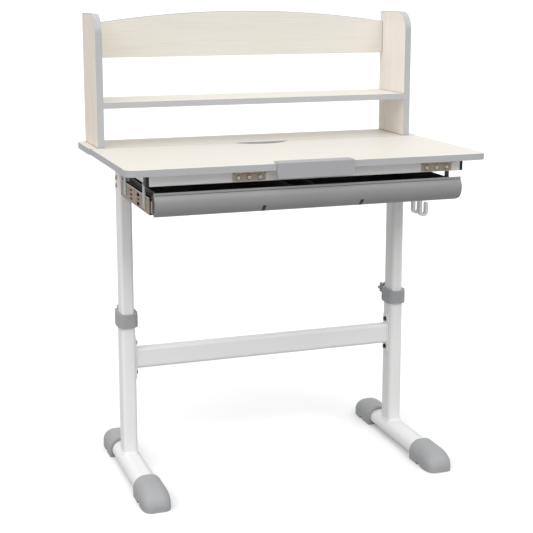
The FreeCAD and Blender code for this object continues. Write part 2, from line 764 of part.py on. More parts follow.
def back_body(inset):
    """Back panel with an arched top edge, lowered by inset."""
    reach = SIDE_X - HUTCH_T
    low = TOP_Z + BACK_RISE
    end = low + BACK_END_H - inset
    corner_a = vec(-reach, 0, low)
    corner_b = vec(reach, 0, low)
    arch_a = vec(-reach, 0, end)
    arch_b = vec(reach, 0, end)
    arch = Part.Arc(arch_b, vec(0, 0, end + BACK_CROWN), arch_a).toShape()
    edges = [Part.makeLine(corner_a, corner_b), Part.makeLine(corner_b, arch_b), arch]
    edges.append(Part.makeLine(arch_a, corner_a))
    panel = Part.Face(Part.Wire(edges)).extrude(vec(0, BACK_T, 0))
    return moved(panel, 0, REAR_Y - BACK_INSET - BACK_T, 0)


def panel_body(inset):
    """Tilting board: round front corners and a finger cut-out in the rear edge, drawn in by inset."""
    w = PANEL_W / 2 - inset
    front = FRONT_Y + inset
    back = PANEL_BACK_Y - inset
    points = [(-w, front, PANEL_FRONT_R - inset), (w, front, PANEL_FRONT_R - inset)]
    points += [(w, back, PANEL_REAR_R - inset), (-w, back, PANEL_REAR_R - inset)]
    board = moved(prism(points, PANEL_T), 0, 0, PANEL_Z)
    bow = ((CUTOUT_W / 2) ** 2 + CUTOUT_D ** 2) / (2 * CUTOUT_D)
    grip = rod(vec(0, PANEL_BACK_Y + bow - CUTOUT_D, PANEL_Z - 1), vec(0, 0, 1), bow + inset, PANEL_T + 2)
    board = board.cut(grip)
    for x in (-TONGUE_X, TONGUE_X):
        w = TONGUE_W / 2
        board = board.cut(box(x - w, x + w, FRONT_Y - 1, FRONT_Y + TONGUE_D, PANEL_Z - 1, TOP_Z + 1))
    return board


def knuckle_span(k):
    """Low and high X of one knuckle, from the hinge's middle, with play at both ends."""
    step = HINGE_W / HINGE_KNUCKLES
    low = -HINGE_W / 2 + k * step
    return low + RUN_GAP / 2, low + step - RUN_GAP / 2


def hinge_lower(x):
    """Leaf on the front of the rail with every other knuckle and the pin."""
    w = HINGE_W / 2
    low_z = HINGE_Z - HINGE_LEAF_H
    leaf = box(-w, w, RAIL_Y - HINGE_LEAF_T, RAIL_Y, low_z, HINGE_Z - HINGE_R - RUN_GAP)
    leaf = leaf.fuse(rod(vec(-HINGE_W / 2, HINGE_Y, HINGE_Z), vec(1, 0, 0), HINGE_PIN_R, HINGE_W))
    for k in range(0, HINGE_KNUCKLES, 2):
        low, high = knuckle_span(k)
        leaf = leaf.fuse(rod(vec(low, HINGE_Y, HINGE_Z), vec(1, 0, 0), HINGE_R, high - low))
        web = box(low, high, RAIL_Y - HINGE_LEAF_T, RAIL_Y, HINGE_Z - HINGE_R - 1, HINGE_Z)
        leaf = leaf.fuse(web)
    return moved(drill(leaf, hinge_screws(0)), x, 0, 0)


def hinge_screws(x):
    """Screws of the lower leaf, driven into the front of the rail."""
    made = []
    for k in range(HINGE_SCREWS):
        at = x + HINGE_W * ((k + 0.5) / HINGE_SCREWS - 0.5)
        z = HINGE_Z - HINGE_R - (HINGE_LEAF_H - HINGE_R) / 2
        face = vec(at, RAIL_Y - HINGE_LEAF_T, z)
        head = Part.makeCone(HINGE_HEAD_R, HINGE_HEAD_R * SCREW_CROWN, SCREW_HEAD_T, face, vec(0, -1, 0))
        made.append(head.fuse(rod(face, vec(0, 1, 0), SCREW_R, SCREW_BITE)))
    return made


def hinge_upper(x):
    """Leaf under the front overhang of the panel with the other knuckles, bored for the pin."""
    front = HINGE_Y - HINGE_R - HINGE_LEAF_REACH
    w = HINGE_W / 2
    leaf = box(-w, w, front, HINGE_Y - HINGE_R - RUN_GAP, PANEL_Z - HINGE_LEAF_T, PANEL_Z)
    for k in range(1, HINGE_KNUCKLES, 2):
        low, high = knuckle_span(k)
        leaf = leaf.fuse(rod(vec(low, HINGE_Y, HINGE_Z), vec(1, 0, 0), HINGE_R, high - low))
        leaf = leaf.fuse(box(low, high, HINGE_Y - HINGE_R - 1, HINGE_Y, HINGE_Z, PANEL_Z))
    bore = rod(vec(-HINGE_W, HINGE_Y, HINGE_Z), vec(1, 0, 0), HINGE_PIN_R + HINGE_FIT, 2 * HINGE_W)
    return moved(leaf.cut(bore), x, 0, 0)


def stay():
    """Flat bar of the tilt stay: a pivot hole at the panel's bracket and a pin in the arm's slot."""
    near = HINGE_Y + STAY_L
    far = HINGE_Y + 2 * STAY_L
    piece = long_hole(near, far, HINGE_Z, STAY_HALF_H, -STAY_X - STAY_T, -STAY_X)
    piece = piece.cut(rod(vec(-STAY_X - 2 * STAY_T, near, HINGE_Z), vec(1, 0, 0), STAY_PIN_R, 3 * STAY_T))
    reach = STAY_SIDE_GAP + ARM_WALL + STAY_PIN_IN
    return piece.fuse(rod(vec(-STAY_X - STAY_T + 1, far, HINGE_Z), vec(-1, 0, 0), STAY_PIN_R, reach + 1))


def stay_bracket():
    """Angle under the panel with an ear and the pivot pin of the stay."""
    near = HINGE_Y + STAY_L
    inner = -STAY_X + EAR_GAP
    h = STAY_HALF_H
    r = h * 0.9
    ear = [(near - h, HINGE_Z - h, r), (near + h, HINGE_Z - h, r)]
    ear += [(near + EAR_L / 2, PANEL_Z, 0), (near - EAR_L / 2, PANEL_Z, 0)]
    piece = in_yz(ear, inner, inner + EAR_T)
    flange = box(inner, inner + EAR_FLANGE_W, near - EAR_L / 2, near + EAR_L / 2, PANEL_Z - EAR_T, PANEL_Z)
    pin_l = EAR_T + EAR_GAP + STAY_T + 1
    piece = piece.fuse(flange)
    return piece.fuse(rod(vec(inner + EAR_T, near, HINGE_Z), vec(-1, 0, 0), STAY_PIN_R - STAY_FIT, pin_l))


def panel_screws():
    """Screws that hold the upper leaves and the stay brackets to the underside of the panel."""
    made = []
    for x in LEAF_SPOTS:
        for k in range(HINGE_SCREWS):
            at = x + HINGE_W * ((k + 0.5) / HINGE_SCREWS - 0.5)
            leaf_y = HINGE_Y - HINGE_R - HINGE_LEAF_REACH / 2
            made.append(screw(at, leaf_y, PANEL_Z - HINGE_LEAF_T, SCREW_BITE))
    for side in (-1, 1):
        for end in (-0.3, 0.3):
            x = side * (STAY_X - EAR_GAP - EAR_FLANGE_W * 0.6)
            made.append(screw(x, HINGE_Y + STAY_L + end * EAR_L, PANEL_Z - EAR_T, SCREW_BITE))
    return made


def book_stop():
    """Angle over the front edge: a lip on top, a plate in front and two tongues in the panel's grooves."""
    half = STOP_W / 2
    lip_z = TOP_Z + RUN_GAP
    top = lip_z + STOP_LIP_T
    outer_y = FRONT_Y - STOP_PROUD
    plate_y = FRONT_Y - STOP_PLATE_GAP
    end_y = FRONT_Y + STOP_LIP_D
    angle = [(outer_y, STOP_BOTTOM_Z, 0.8), (plate_y, STOP_BOTTOM_Z, 0.8), (plate_y, lip_z, 0)]
    angle += [(end_y, lip_z, 0.6), (end_y, top, 0.8), (outer_y, top, STOP_BEND_R)]
    r = STOP_CORNER_R
    face = [(-half, STOP_BOTTOM_Z, r), (half, STOP_BOTTOM_Z, r), (half, top + 1, 0), (-half, top + 1, 0)]
    plan = [(-half, outer_y - 1, 0), (half, outer_y - 1, 0), (half, end_y, r), (-half, end_y, r)]
    body = in_yz(angle, -half, half)
    body = body.common(in_xz(face, outer_y - 1, end_y + 1))
    body = body.common(moved(prism(plan, 2 * STOP_W), 0, 0, STOP_BOTTOM_Z - STOP_W))
    for x in (-TONGUE_X, TONGUE_X):
        w = TONGUE_W / 2 - RUN_GAP
        tip_y = FRONT_Y + TONGUE_D - RUN_GAP
        body = body.fuse(box(x - w, x + w, plate_y - 0.5, tip_y, STOP_BOTTOM_Z + TONGUE_RISE, lip_z + 0.5))
    return body


def bow_points(depth):
    """Upper end, middle and lower end of the front's bowed line, at a depth behind the visible face."""
    top_y = FRONT_Y + DRAWER_TOP_INSET
    crease = DRAWER_TOP_Z - DRAWER_LIP_H
    mid_z = DRAWER_BOTTOM_Z + (crease - DRAWER_BOTTOM_Z) * DRAWER_BOW_SHARE
    upper = vec(0, top_y + depth, crease)
    middle = vec(0, top_y - DRAWER_BULGE + depth, mid_z + depth * 0.35)
    lower = vec(0, top_y + DRAWER_CURL, DRAWER_BOTTOM_Z + depth)
    return upper, middle, lower


def front_room():
    """Everything before and below the inside of the bowed skin, which the tray keeps clear of."""
    upper, middle, lower = bow_points(DRAWER_SKIN + RUN_GAP)
    far_y = FRONT_Y - DRAWER_HALF
    far_z = DRAWER_BOTTOM_Z - DRAWER_CURL
    path = [upper, vec(0, far_y, upper.z), vec(0, far_y, far_z), vec(0, lower.y, far_z), lower]
    edges = [Part.makeLine(p, q) for p, q in zip(path, path[1:])]
    edges.append(Part.Arc(lower, middle, upper).toShape())
    room = Part.Face(Part.Wire(edges)).extrude(vec(2 * DRAWER_HALF, 0, 0))
    return moved(room, -DRAWER_HALF, 0, 0)


def drawer_front():
    """Curved front: a bowed skin that curls under, a lip along its top, round lower corners and two slits."""
    top_y = FRONT_Y + DRAWER_TOP_INSET
    low_y = top_y + DRAWER_CURL
    crease = DRAWER_TOP_Z - DRAWER_LIP_H
    skin = DRAWER_SKIN
    a, m, b = bow_points(0)
    a2, m2, b2 = bow_points(skin)
    edges = [Part.Arc(a, m, b).toShape(), Part.makeLine(b, b2)]
    edges += [Part.Arc(b2, m2, a2).toShape(), Part.makeLine(a2, a)]
    body = Part.Face(Part.Wire(edges)).extrude(vec(2 * DRAWER_HALF, 0, 0))
    body = moved(body, -DRAWER_HALF, 0, 0)
    lip_y = top_y - DRAWER_LIP_PROUD
    back_y = top_y + skin
    lip = [(lip_y, crease, 0), (back_y, crease, 0), (back_y, DRAWER_TOP_Z, 1), (lip_y, DRAWER_TOP_Z, 1.6)]
    body = body.fuse(in_yz(lip, -DRAWER_HALF, DRAWER_HALF))
    h = DRAWER_HALF
    r = DRAWER_CORNER_R
    low = DRAWER_BOTTOM_Z - 1
    high = DRAWER_TOP_Z + 1
    face = [(-h, low, r), (h, low, r), (h, high, 0), (-h, high, 0)]
    body = body.common(in_xz(face, FRONT_Y - h, FRONT_Y + h))
    for x in (-SLIT_X, SLIT_X):
        w = SLIT_W / 2
        body = body.cut(box(x - w, x + w, FRONT_Y - h, low_y + 1, low, DRAWER_BOTTOM_Z + SLIT_H))
    return body


def tray_cheek():
    """End plate of the tray that fills the left end of the curved front, behind its skin."""
    outer = DRAWER_HALF - CHEEK_INSET
    top_y = FRONT_Y + DRAWER_TOP_INSET
    back = FRONT_Y + CHEEK_BACK
    high = DRAWER_TOP_Z - DRAWER_LIP_H
    plate = box(-outer, CHEEK_T - outer, top_y - DRAWER_BULGE, back, DRAWER_BOTTOM_Z, high)
    r = DRAWER_CORNER_R
    low = DRAWER_BOTTOM_Z - 1 + DRAWER_SKIN
    face = [(-outer, low, r), (outer, low, r), (outer, high, 0), (-outer, high, 0)]
    return plate.common(in_xz(face, FRONT_Y, back)).cut(front_room())


def slide_front_y():
    """Front end of the slides, behind the curl of the drawer's front."""
    return FRONT_Y + DRAWER_TOP_INSET + DRAWER_CURL + SLIDE_SET_BACK + RUN_GAP


def drawer_tray():
    """Moulded tray with two dividers, a floor and a broad front flange behind the curved front."""
    half = SLIDE_X - SLIDE_DEEP - SLIDE_BALL - 2 * SLIDE_SHEET - RUN_GAP
    low = SLIDE_BOTTOM_Z + TRAY_LIFT
    front = FRONT_Y + DRAWER_TOP_INSET + DRAWER_SKIN
    back = front + TRAY_L
    plan = [(-half, front, 1), (half, front, 1), (half, back, TRAY_R), (-half, back, TRAY_R)]
    body = moved(prism(plan, TRAY_H), 0, 0, low)
    wall = TRAY_WALL
    left_room = (-half + wall, DIVIDER_LEFT_X - DIVIDER_T / 2)
    mid_room = (DIVIDER_LEFT_X + DIVIDER_T / 2, DIVIDER_RIGHT_X - DIVIDER_T / 2)
    right_room = (DIVIDER_RIGHT_X + DIVIDER_T / 2, half - wall)
    for x0, x1 in (left_room, mid_room, right_room):
        r = TRAY_R - wall
        y0 = front + TRAY_FLANGE_T
        y1 = back - wall
        room = [(x0, y0, r), (x1, y0, r), (x1, y1, r), (x0, y1, r)]
        body = body.cut(moved(prism(room, TRAY_H), 0, 0, low + wall))
    wide = DRAWER_HALF - TRAY_FLANGE_INSET
    high = DRAWER_TOP_Z - TRAY_FLANGE_DROP
    edge = [(-wide, SLIDE_BOTTOM_Z, 8), (wide, SLIDE_BOTTOM_Z, 8), (wide, high, 2), (-wide, high, 2)]
    body = body.fuse(in_xz(edge, front, front + TRAY_FLANGE_T)).cut(front_room())
    return body.fuse(tray_cheek()).fuse(mirror_x(tray_cheek()))


def slide_mid_z():
    return SLIDE_BOTTOM_Z + SLIDE_H / 2


def slide_outer():
    """Fixed member: a lipped channel with punched slots, open towards the tray."""
    t = SLIDE_SHEET
    half = SLIDE_H / 2
    y0 = slide_front_y()
    body = box(0, SLIDE_DEEP, 0, SLIDE_L, -half, half)
    body = body.cut(box(t, SLIDE_DEEP - t, -1, SLIDE_L + 1, -half + t, half - t))
    body = body.cut(box(t, SLIDE_DEEP + 1, -1, SLIDE_L + 1, -half + t + SLIDE_LIP, half - t - SLIDE_LIP))
    for z in [half * row for row in SLOT_ROWS]:
        for share in SLOT_PLACES:
            at = SLIDE_L * share
            r = SLOT_H / 2
            body = body.cut(long_hole(at - SLOT_L / 2 + r, at + SLOT_L / 2 - r, z, r, -1, t + 1))
    return drill(moved(body, -SLIDE_X, y0, slide_mid_z()), strap_rivets())


def slide_middle():
    """Middle member: a channel that runs in the fixed member."""
    t = SLIDE_SHEET
    half = SLIDE_H / 2 - t - INNER_GAP
    x0 = t + SLIDE_BALL
    x1 = SLIDE_DEEP - t - RUN_GAP
    length = SLIDE_L - MID_SHORTER
    body = box(x0, x1, 0, length, -half, half)
    body = body.cut(box(x0 + t, x1 + 1, -1, length + 1, -half + t, half - t))
    return moved(body, -SLIDE_X, slide_front_y() + MID_SET_BACK, slide_mid_z())


def slide_inner():
    """Inner member: a narrow channel on the tray's wall, with a boxed tab behind the tray's end plate."""
    t = SLIDE_SHEET
    half = SLIDE_H / 2 - 2 * t - INNER_GAP - SLIDE_BALL
    x0 = 2 * t + SLIDE_BALL + INNER_GAP
    x1 = SLIDE_DEEP + SLIDE_BALL + 2 * t + RUN_GAP
    body = box(x0, x1, 0, SLIDE_L - 2, -half, half)
    body = body.cut(box(x0 - 1, x1 - t, -1, SLIDE_L, -half + t, half - t))
    tab = FRONT_Y + CHEEK_BACK + RUN_GAP - slide_front_y()
    body = body.fuse(box(x1 - t, x1, tab, 1, -half, half))
    body = body.fuse(box(SLIDE_TAB_IN, x1, tab, tab + t, -half, half))
    body = body.fuse(box(SLIDE_TAB_IN, SLIDE_TAB_IN + t, tab, -2 * RUN_GAP, -half, half))
    return moved(body, -SLIDE_X, slide_front_y(), slide_mid_z()).cut(front_room())


def strap_spots():
    return [FRONT_Y + DEPTH * share for share in (STRAP_FRONT_SHARE, STRAP_REAR_SHARE)]


def strap_rivets():
    """Rivets of the left straps: one up into the arm and one through the fixed slide member, for each strap."""
    made = []
    crown = RIVET_HEAD_R * RIVET_CROWN
    for y in strap_spots():
        under = vec(STRAP_TAB / 2 - SLIDE_X, y, ARM_Z - STRAP_T)
        head = Part.makeCone(RIVET_HEAD_R, crown, RIVET_HEAD_T, under, vec(0, 0, -1))
        made.append(head.fuse(rod(under, vec(0, 0, 1), RIVET_R, STRAP_T + ARM_WALL)))
        aside = vec(-SLIDE_X - STRAP_T, y, SLIDE_BOTTOM_Z + SLIDE_H / 2)
        head = Part.makeCone(RIVET_HEAD_R, crown, RIVET_HEAD_T, aside, vec(-1, 0, 0))
        made.append(head.fuse(rod(aside, vec(1, 0, 0), RIVET_R, STRAP_T + SLIDE_SHEET)))
    return made


def slide_strap(y):
    """Angle that hangs the fixed slide member from the arm: a tab under the arm and a leg down the slide."""
    low = SLIDE_BOTTOM_Z + SLIDE_H - STRAP_LAP
    w = STRAP_W / 2
    t = STRAP_T
    bend = [(-SLIDE_X - t, low, 0), (-SLIDE_X, low, 0), (-SLIDE_X, ARM_Z - t, 0)]
    bend += [(STRAP_TAB - SLIDE_X, ARM_Z - t, 0), (STRAP_TAB - SLIDE_X, ARM_Z, 0), (-SLIDE_X - t, ARM_Z, t)]
    body = in_xz(bend, y - w, y + w)
    face = [(y - w, low, STRAP_R), (y + w, low, STRAP_R), (y + w, ARM_Z + 1, 0), (y - w, ARM_Z + 1, 0)]
    body = body.common(in_yz(face, -SLIDE_X - 2 * t, STRAP_TAB))
    return drill(body, strap_rivets())


def hook_screws():
    """Screws of the bag hook in the outer wall of the right inner column."""
    made = []
    face = COLUMN_X + INNER_W / 2 + HOOK_PLATE_T
    for rise in (0.25, 0.75):
        at = vec(face, COLUMN_Y, HOOK_PLATE_Z + HOOK_PLATE_H * rise)
        head = Part.makeCone(SCREW_HEAD_R, SCREW_HEAD_R * 0.6, SCREW_HEAD_T, at, vec(1, 0, 0))
        made.append(head.fuse(rod(at, vec(-1, 0, 0), SCREW_R, HOOK_PLATE_T + TUBE_WALL)))
    return made


def bag_hook():
    """Double hook: a plate on the column with two strips that turn out and up."""
    x0 = COLUMN_X + INNER_W / 2
    front = COLUMN_Y - HOOK_FORE
    rear = front + HOOK_APART
    top = HOOK_PLATE_Z + HOOK_PLATE_H
    back = COLUMN_Y + INNER_D / 2 - INNER_R
    lead = front - HOOK_STRIP / 2
    r = HOOK_PLATE_R
    plate = [(lead, HOOK_PLATE_Z, r), (back, HOOK_PLATE_Z, r), (back, top, r), (lead, top, r)]
    body = in_yz(plate, x0, x0 + HOOK_PLATE_T)
    low = HOOK_PLATE_Z - HOOK_DROP
    x1 = x0 + HOOK_PLATE_T - HOOK_SEAT + HOOK_T
    x2 = x0 + HOOK_PLATE_T + HOOK_OUT
    for y in (front, rear):
        r = HOOK_BEND_R
        tip = HOOK_T * 0.47
        outer = [(x1 - HOOK_T, low, r), (x2, low, r), (x2, low + HOOK_TIP, tip)]
        outer.append((x2 - HOOK_T, low + HOOK_TIP, tip))
        outer += [(x2 - HOOK_T, low + HOOK_T, r - HOOK_T), (x1, low + HOOK_T, r - HOOK_T)]
        outer += [(x1, HOOK_PLATE_Z + HOOK_PLATE_H / 2, 0), (x1 - HOOK_T, HOOK_PLATE_Z + HOOK_PLATE_H / 2, 0)]
        body = body.fuse(in_xz(outer, y - HOOK_STRIP / 2, y + HOOK_STRIP / 2))
    column = bar(INNER_W, INNER_D, INNER_R, TOP_Z)
    return drill(body.cut(moved(column, COLUMN_X, COLUMN_Y, 0)), hook_screws())


os.makedirs("parts", exist_ok=True)

# Base
pair("foot_bar", foot_bar())
pair("foot_cap_front", foot_cap(True))
pair("foot_cap_rear", foot_cap(False))
pair("lower_column", lower_column())
pair("column_collar", collar())
pair("clamp_knob", clamp_knob())
pair("clamp_stud", clamp_stud())
save("crossbar", crossbar())
rises = (-PLATE_BOLT_RISE, PLATE_BOLT_RISE)
save("crossbar_bolts", group([crossbar_bolt(side, rise) for side in (-1, 1) for rise in rises]))

# Upper frame, rear board and hutch
save("column_sleeves", group([column_sleeve(), mirror_x(column_sleeve())]))
save("arm_sockets", group([arm_socket(), mirror_x(arm_socket())]))
drops = (SOCKET_BOLT_HIGH, SOCKET_BOLT_LOW)
save("socket_bolts", group([socket_bolt(side, drop) for side in (-1, 1) for drop in drops]))
save("rail_plugs", group([rail_plug(-1), rail_plug(1)]))
save("rear_rail", rear_rail())
save("board_screws", group(board_screws()))
save("hutch_screws", group(hutch_screws()))
save("hutch_dowels", group(hutch_dowels()))
save("rear_board", drill(rear_board_body(BAND_T), board_screws() + hutch_screws()))
save("rear_board_band", rear_board_body(0).cut(rear_board_body(BAND_T)))
pair("hutch_side", drill(hutch_side_body(BAND_T), hutch_screws() + hutch_dowels()))
side_band = hutch_side_body(0).cut(hutch_side_body(BAND_T))
save("hutch_side_bands", group([side_band, mirror_x(side_band)]))
shelf_front = REAR_Y - HUTCH_D
strip_back = shelf_front + BAND_T
shelf_strip = box(-SIDE_X, SIDE_X, shelf_front - 1, strip_back, SHELF_Z - 2 * SHELF_T, SHELF_Z + SHELF_T)
save("hutch_shelf", drill(shelf_body().cut(shelf_strip), hutch_dowels()))
save("hutch_shelf_band", shelf_body().common(shelf_strip))
save("hutch_back", drill(back_body(BAND_T), hutch_dowels()))
save("hutch_back_band", back_body(0).cut(back_body(BAND_T)))

# Arms, front rail, tilting panel and book stop
pair("side_arm", side_arm())
rail_screws = [s for x in LEAF_SPOTS for s in hinge_screws(x)]
save("front_rail", drill(front_rail(), rail_screws))
save("hinge_screws", group(rail_screws))
save("hinge_leaves_lower", group([hinge_lower(x) for x in LEAF_SPOTS]))
save("hinge_leaves_upper", group([drill(hinge_upper(x), panel_screws()) for x in LEAF_SPOTS]))
save("tilt_panel", drill(panel_body(BAND_T), panel_screws()))
save("tilt_panel_band", panel_body(0).cut(panel_body(BAND_T)))
save("panel_screws", group(panel_screws()))
pair("tilt_stay", stay())
bracket = drill(stay_bracket(), panel_screws())
save("stay_brackets", group([bracket, mirror_x(bracket)]))
save("book_stop", book_stop())

# Drawer, slides, bag hook and inner columns
save("drawer_front", drawer_front())
save("drawer_tray", drawer_tray())
pair("slide_outer", slide_outer())
pair("slide_middle", slide_middle())
pair("slide_inner", slide_inner())
straps = [slide_strap(y) for y in strap_spots()]
save("slide_straps", group(straps + [mirror_x(s) for s in straps]))
save("strap_rivets", group(strap_rivets() + [mirror_x(s) for s in strap_rivets()]))
save("bag_hook", bag_hook())
save("inner_column_left", inner_column())
save("inner_column_right", drill(mirror_x(inner_column()), hook_screws()))
save("hook_screws", group(hook_screws()))
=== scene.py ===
import bmesh
import bpy
import json
import math
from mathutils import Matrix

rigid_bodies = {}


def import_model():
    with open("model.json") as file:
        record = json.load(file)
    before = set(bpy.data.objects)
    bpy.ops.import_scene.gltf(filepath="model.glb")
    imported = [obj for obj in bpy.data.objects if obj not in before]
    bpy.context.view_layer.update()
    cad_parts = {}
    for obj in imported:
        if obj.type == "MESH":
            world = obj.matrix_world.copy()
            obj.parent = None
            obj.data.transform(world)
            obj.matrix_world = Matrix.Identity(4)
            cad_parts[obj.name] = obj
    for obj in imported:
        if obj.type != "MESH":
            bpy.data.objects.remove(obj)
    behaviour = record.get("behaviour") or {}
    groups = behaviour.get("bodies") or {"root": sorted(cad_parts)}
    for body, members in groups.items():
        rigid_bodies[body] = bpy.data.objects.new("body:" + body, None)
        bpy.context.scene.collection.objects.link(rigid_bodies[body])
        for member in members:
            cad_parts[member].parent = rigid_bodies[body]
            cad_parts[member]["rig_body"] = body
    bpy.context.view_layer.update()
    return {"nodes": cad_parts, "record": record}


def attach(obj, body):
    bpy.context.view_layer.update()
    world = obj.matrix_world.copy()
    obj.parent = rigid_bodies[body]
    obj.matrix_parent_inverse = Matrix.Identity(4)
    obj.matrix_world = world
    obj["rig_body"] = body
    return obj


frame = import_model()
nodes = frame["nodes"]

X, Y, Z = 0, 1, 2
SIDES = (("left", -1), ("right", 1))
FULL_TURN = 2 * math.pi
PURE_WHITE = (1.0, 1.0, 1.0, 1.0)


# Shared effects, each a node group that several finishes place with their own values

def new_group(name, inputs, outputs):
    """Empty shader node group with float sockets, except those whose name is Place (a vector)."""
    group = bpy.data.node_groups.new(name, "ShaderNodeTree")
    for label, default in inputs:
        kind = "NodeSocketVector" if label == "Place" else "NodeSocketFloat"
        socket = group.interface.new_socket(label, in_out="INPUT", socket_type=kind)
        if kind == "NodeSocketFloat":
            socket.default_value = default
    for label in outputs:
        group.interface.new_socket(label, in_out="OUTPUT", socket_type="NodeSocketFloat")
    entry = group.nodes.new("NodeGroupInput")
    leave = group.nodes.new("NodeGroupOutput")
    return group, entry, leave


def noise(tree, scale, detail, roughness):
    node = tree.nodes.new("ShaderNodeTexNoise")
    node.inputs["Scale"].default_value = scale
    node.inputs["Detail"].default_value = detail
    node.inputs["Roughness"].default_value = roughness
    return node


def window(tree, value, low, high):
    """Stretch a value so that low goes to 0 and high to 1."""
    node = tree.nodes.new("ShaderNodeMapRange")
    node.inputs["From Min"].default_value = low
    node.inputs["From Max"].default_value = high
    tree.links.new(value, node.inputs["Value"])
    return node.outputs["Result"]


def math_node(tree, operation, a, b):
    """Math node whose operands are sockets or plain numbers."""
    node = tree.nodes.new("ShaderNodeMath")
    node.operation = operation
    for slot, operand in zip(node.inputs, (a, b)):
        if isinstance(operand, (int, float)):
            slot.default_value = operand
        else:
            tree.links.new(operand, slot)
    return node.outputs[0]


def maple_figure():
    """Printed maple grain: broad soft bands, fine streaks along the grain and short pores."""
    group, entry, leave = new_group("maple_figure", [("Place", 0.0)], ["Figure", "Streak", "Pores"])
    bands = noise(group, scale=3.0, detail=2.0, roughness=0.5)
    streaks = noise(group, scale=11.0, detail=4.0, roughness=0.62)
    pores = noise(group, scale=46.0, detail=2.0, roughness=0.5)
    for node in (bands, streaks, pores):
        group.links.new(entry.outputs["Place"], node.inputs["Vector"])
    bands.inputs["Distortion"].default_value = 0.35
    group.links.new(window(group, bands.outputs["Fac"], low=0.15, high=0.85), leave.inputs["Figure"])
    group.links.new(window(group, streaks.outputs["Fac"], low=0.46, high=0.66), leave.inputs["Streak"])
    group.links.new(window(group, pores.outputs["Fac"], low=0.6, high=0.72), leave.inputs["Pores"])
    return group


def fine_stipple():
    """Fine even stipple of a moulding or a powder coat, with a slow drift in tone."""
    group, entry, leave = new_group("fine_stipple", [("Place", 0.0), ("Grain", 900.0)], ["Height", "Drift"])
    stipple = noise(group, scale=900.0, detail=2.0, roughness=0.55)
    group.links.new(entry.outputs["Grain"], stipple.inputs["Scale"])
    drift = noise(group, scale=7.0, detail=3.0, roughness=0.5)
    for node in (stipple, drift):
        group.links.new(entry.outputs["Place"], node.inputs["Vector"])
    group.links.new(stipple.outputs["Fac"], leave.inputs["Height"])
    group.links.new(window(group, drift.outputs["Fac"], low=0.3, high=0.7), leave.inputs["Drift"])
    return group


def zinc_bloom():
    """Zinc plating: small crystal patches of differing tone under a cloudy passivation."""
    inputs = [("Place", 0.0), ("Grain", 260.0)]
    group, entry, leave = new_group("zinc_bloom", inputs, ["Patch", "Cloud", "Height"])
    cells = group.nodes.new("ShaderNodeTexVoronoi")
    group.links.new(entry.outputs["Grain"], cells.inputs["Scale"])
    cloud = noise(group, scale=38.0, detail=4.0, roughness=0.6)
    brush = noise(group, scale=700.0, detail=2.0, roughness=0.5)
    for node in (cells, cloud, brush):
        group.links.new(entry.outputs["Place"], node.inputs["Vector"])
    group.links.new(math_node(group, "FRACT", cells.outputs["Color"], 1.0), leave.inputs["Patch"])
    group.links.new(window(group, cloud.outputs["Fac"], low=0.32, high=0.68), leave.inputs["Cloud"])
    group.links.new(brush.outputs["Fac"], leave.inputs["Height"])
    return group


def edge_wear_and_highlight():
    """Mask of the edges for faint wear and a painted highlight, broken up so that it isn't an even line."""
    group, entry, leave = new_group("edge_wear_and_highlight", [("Place", 0.0), ("Reach", 0.0012)], ["Mask"])
    rounded = group.nodes.new("ShaderNodeBevel")
    group.links.new(entry.outputs["Reach"], rounded.inputs["Radius"])
    facing = group.nodes.new("ShaderNodeVectorMath")
    facing.operation = "DOT_PRODUCT"
    group.links.new(rounded.outputs["Normal"], facing.inputs[0])
    group.links.new(group.nodes.new("ShaderNodeNewGeometry").outputs["Normal"], facing.inputs[1])
    edge = window(group, facing.outputs["Value"], low=0.995, high=0.80)
    patches = noise(group, scale=60.0, detail=3.0, roughness=0.6)
    group.links.new(entry.outputs["Place"], patches.inputs["Vector"])
    share = window(group, patches.outputs["Fac"], low=0.25, high=0.7)
    group.links.new(math_node(group, "MULTIPLY", edge, share), leave.inputs["Mask"])
    return group


MAPLE = maple_figure()
STIPPLE = fine_stipple()
ZINC = zinc_bloom()
WEAR_AND_HIGHLIGHT = edge_wear_and_highlight()


# Finishes

def start_finish(name, roughness, metallic=0.0, specular=0.5):
    mat = bpy.data.materials.new(name)
    mat.use_nodes = True
    tree = mat.node_tree
    shader = tree.nodes["Principled BSDF"]
    shader.inputs["Roughness"].default_value = roughness
    shader.inputs["Metallic"].default_value = metallic
    shader.inputs["Specular IOR Level"].default_value = specular
    return mat, tree, shader


def place_of(tree, stretch=(1.0, 1.0, 1.0)):
    """Object coordinates in metres, stretched along the three axes."""
    coords = tree.nodes.new("ShaderNodeTexCoord")
    mapping = tree.nodes.new("ShaderNodeMapping")
    mapping.inputs["Scale"].default_value = stretch
    tree.links.new(coords.outputs["Object"], mapping.inputs["Vector"])
    return mapping.outputs["Vector"]


def use(tree, group, place, **values):
    node = tree.nodes.new("ShaderNodeGroup")
    node.node_tree = group
    tree.links.new(place, node.inputs["Place"])
    for label, value in values.items():
        node.inputs[label].default_value = value
    return node


def blend(tree, factor, first, second):
    """Mix of two colours; each is a socket or an (r, g, b)."""
    node = tree.nodes.new("ShaderNodeMix")
    node.data_type = "RGBA"
    tree.links.new(factor, node.inputs["Factor"])
    for socket, colour in ((node.inputs[6], first), (node.inputs[7], second)):
        if isinstance(colour, tuple):
            socket.default_value = (*colour, 1.0)
        else:
            tree.links.new(colour, socket)
    return node.outputs[2]


def scaled(tree, value, low, high):
    """Value from 0 to 1 spread between low and high."""
    node = tree.nodes.new("ShaderNodeMapRange")
    node.inputs["To Min"].default_value = low
    node.inputs["To Max"].default_value = high
    tree.links.new(value, node.inputs["Value"])
    return node.outputs["Result"]


def bump(tree, shader, height, strength, distance):
    node = tree.nodes.new("ShaderNodeBump")
    node.inputs["Strength"].default_value = strength
    node.inputs["Distance"].default_value = distance
    tree.links.new(height, node.inputs["Height"])
    tree.links.new(node.outputs["Normal"], shader.inputs["Normal"])


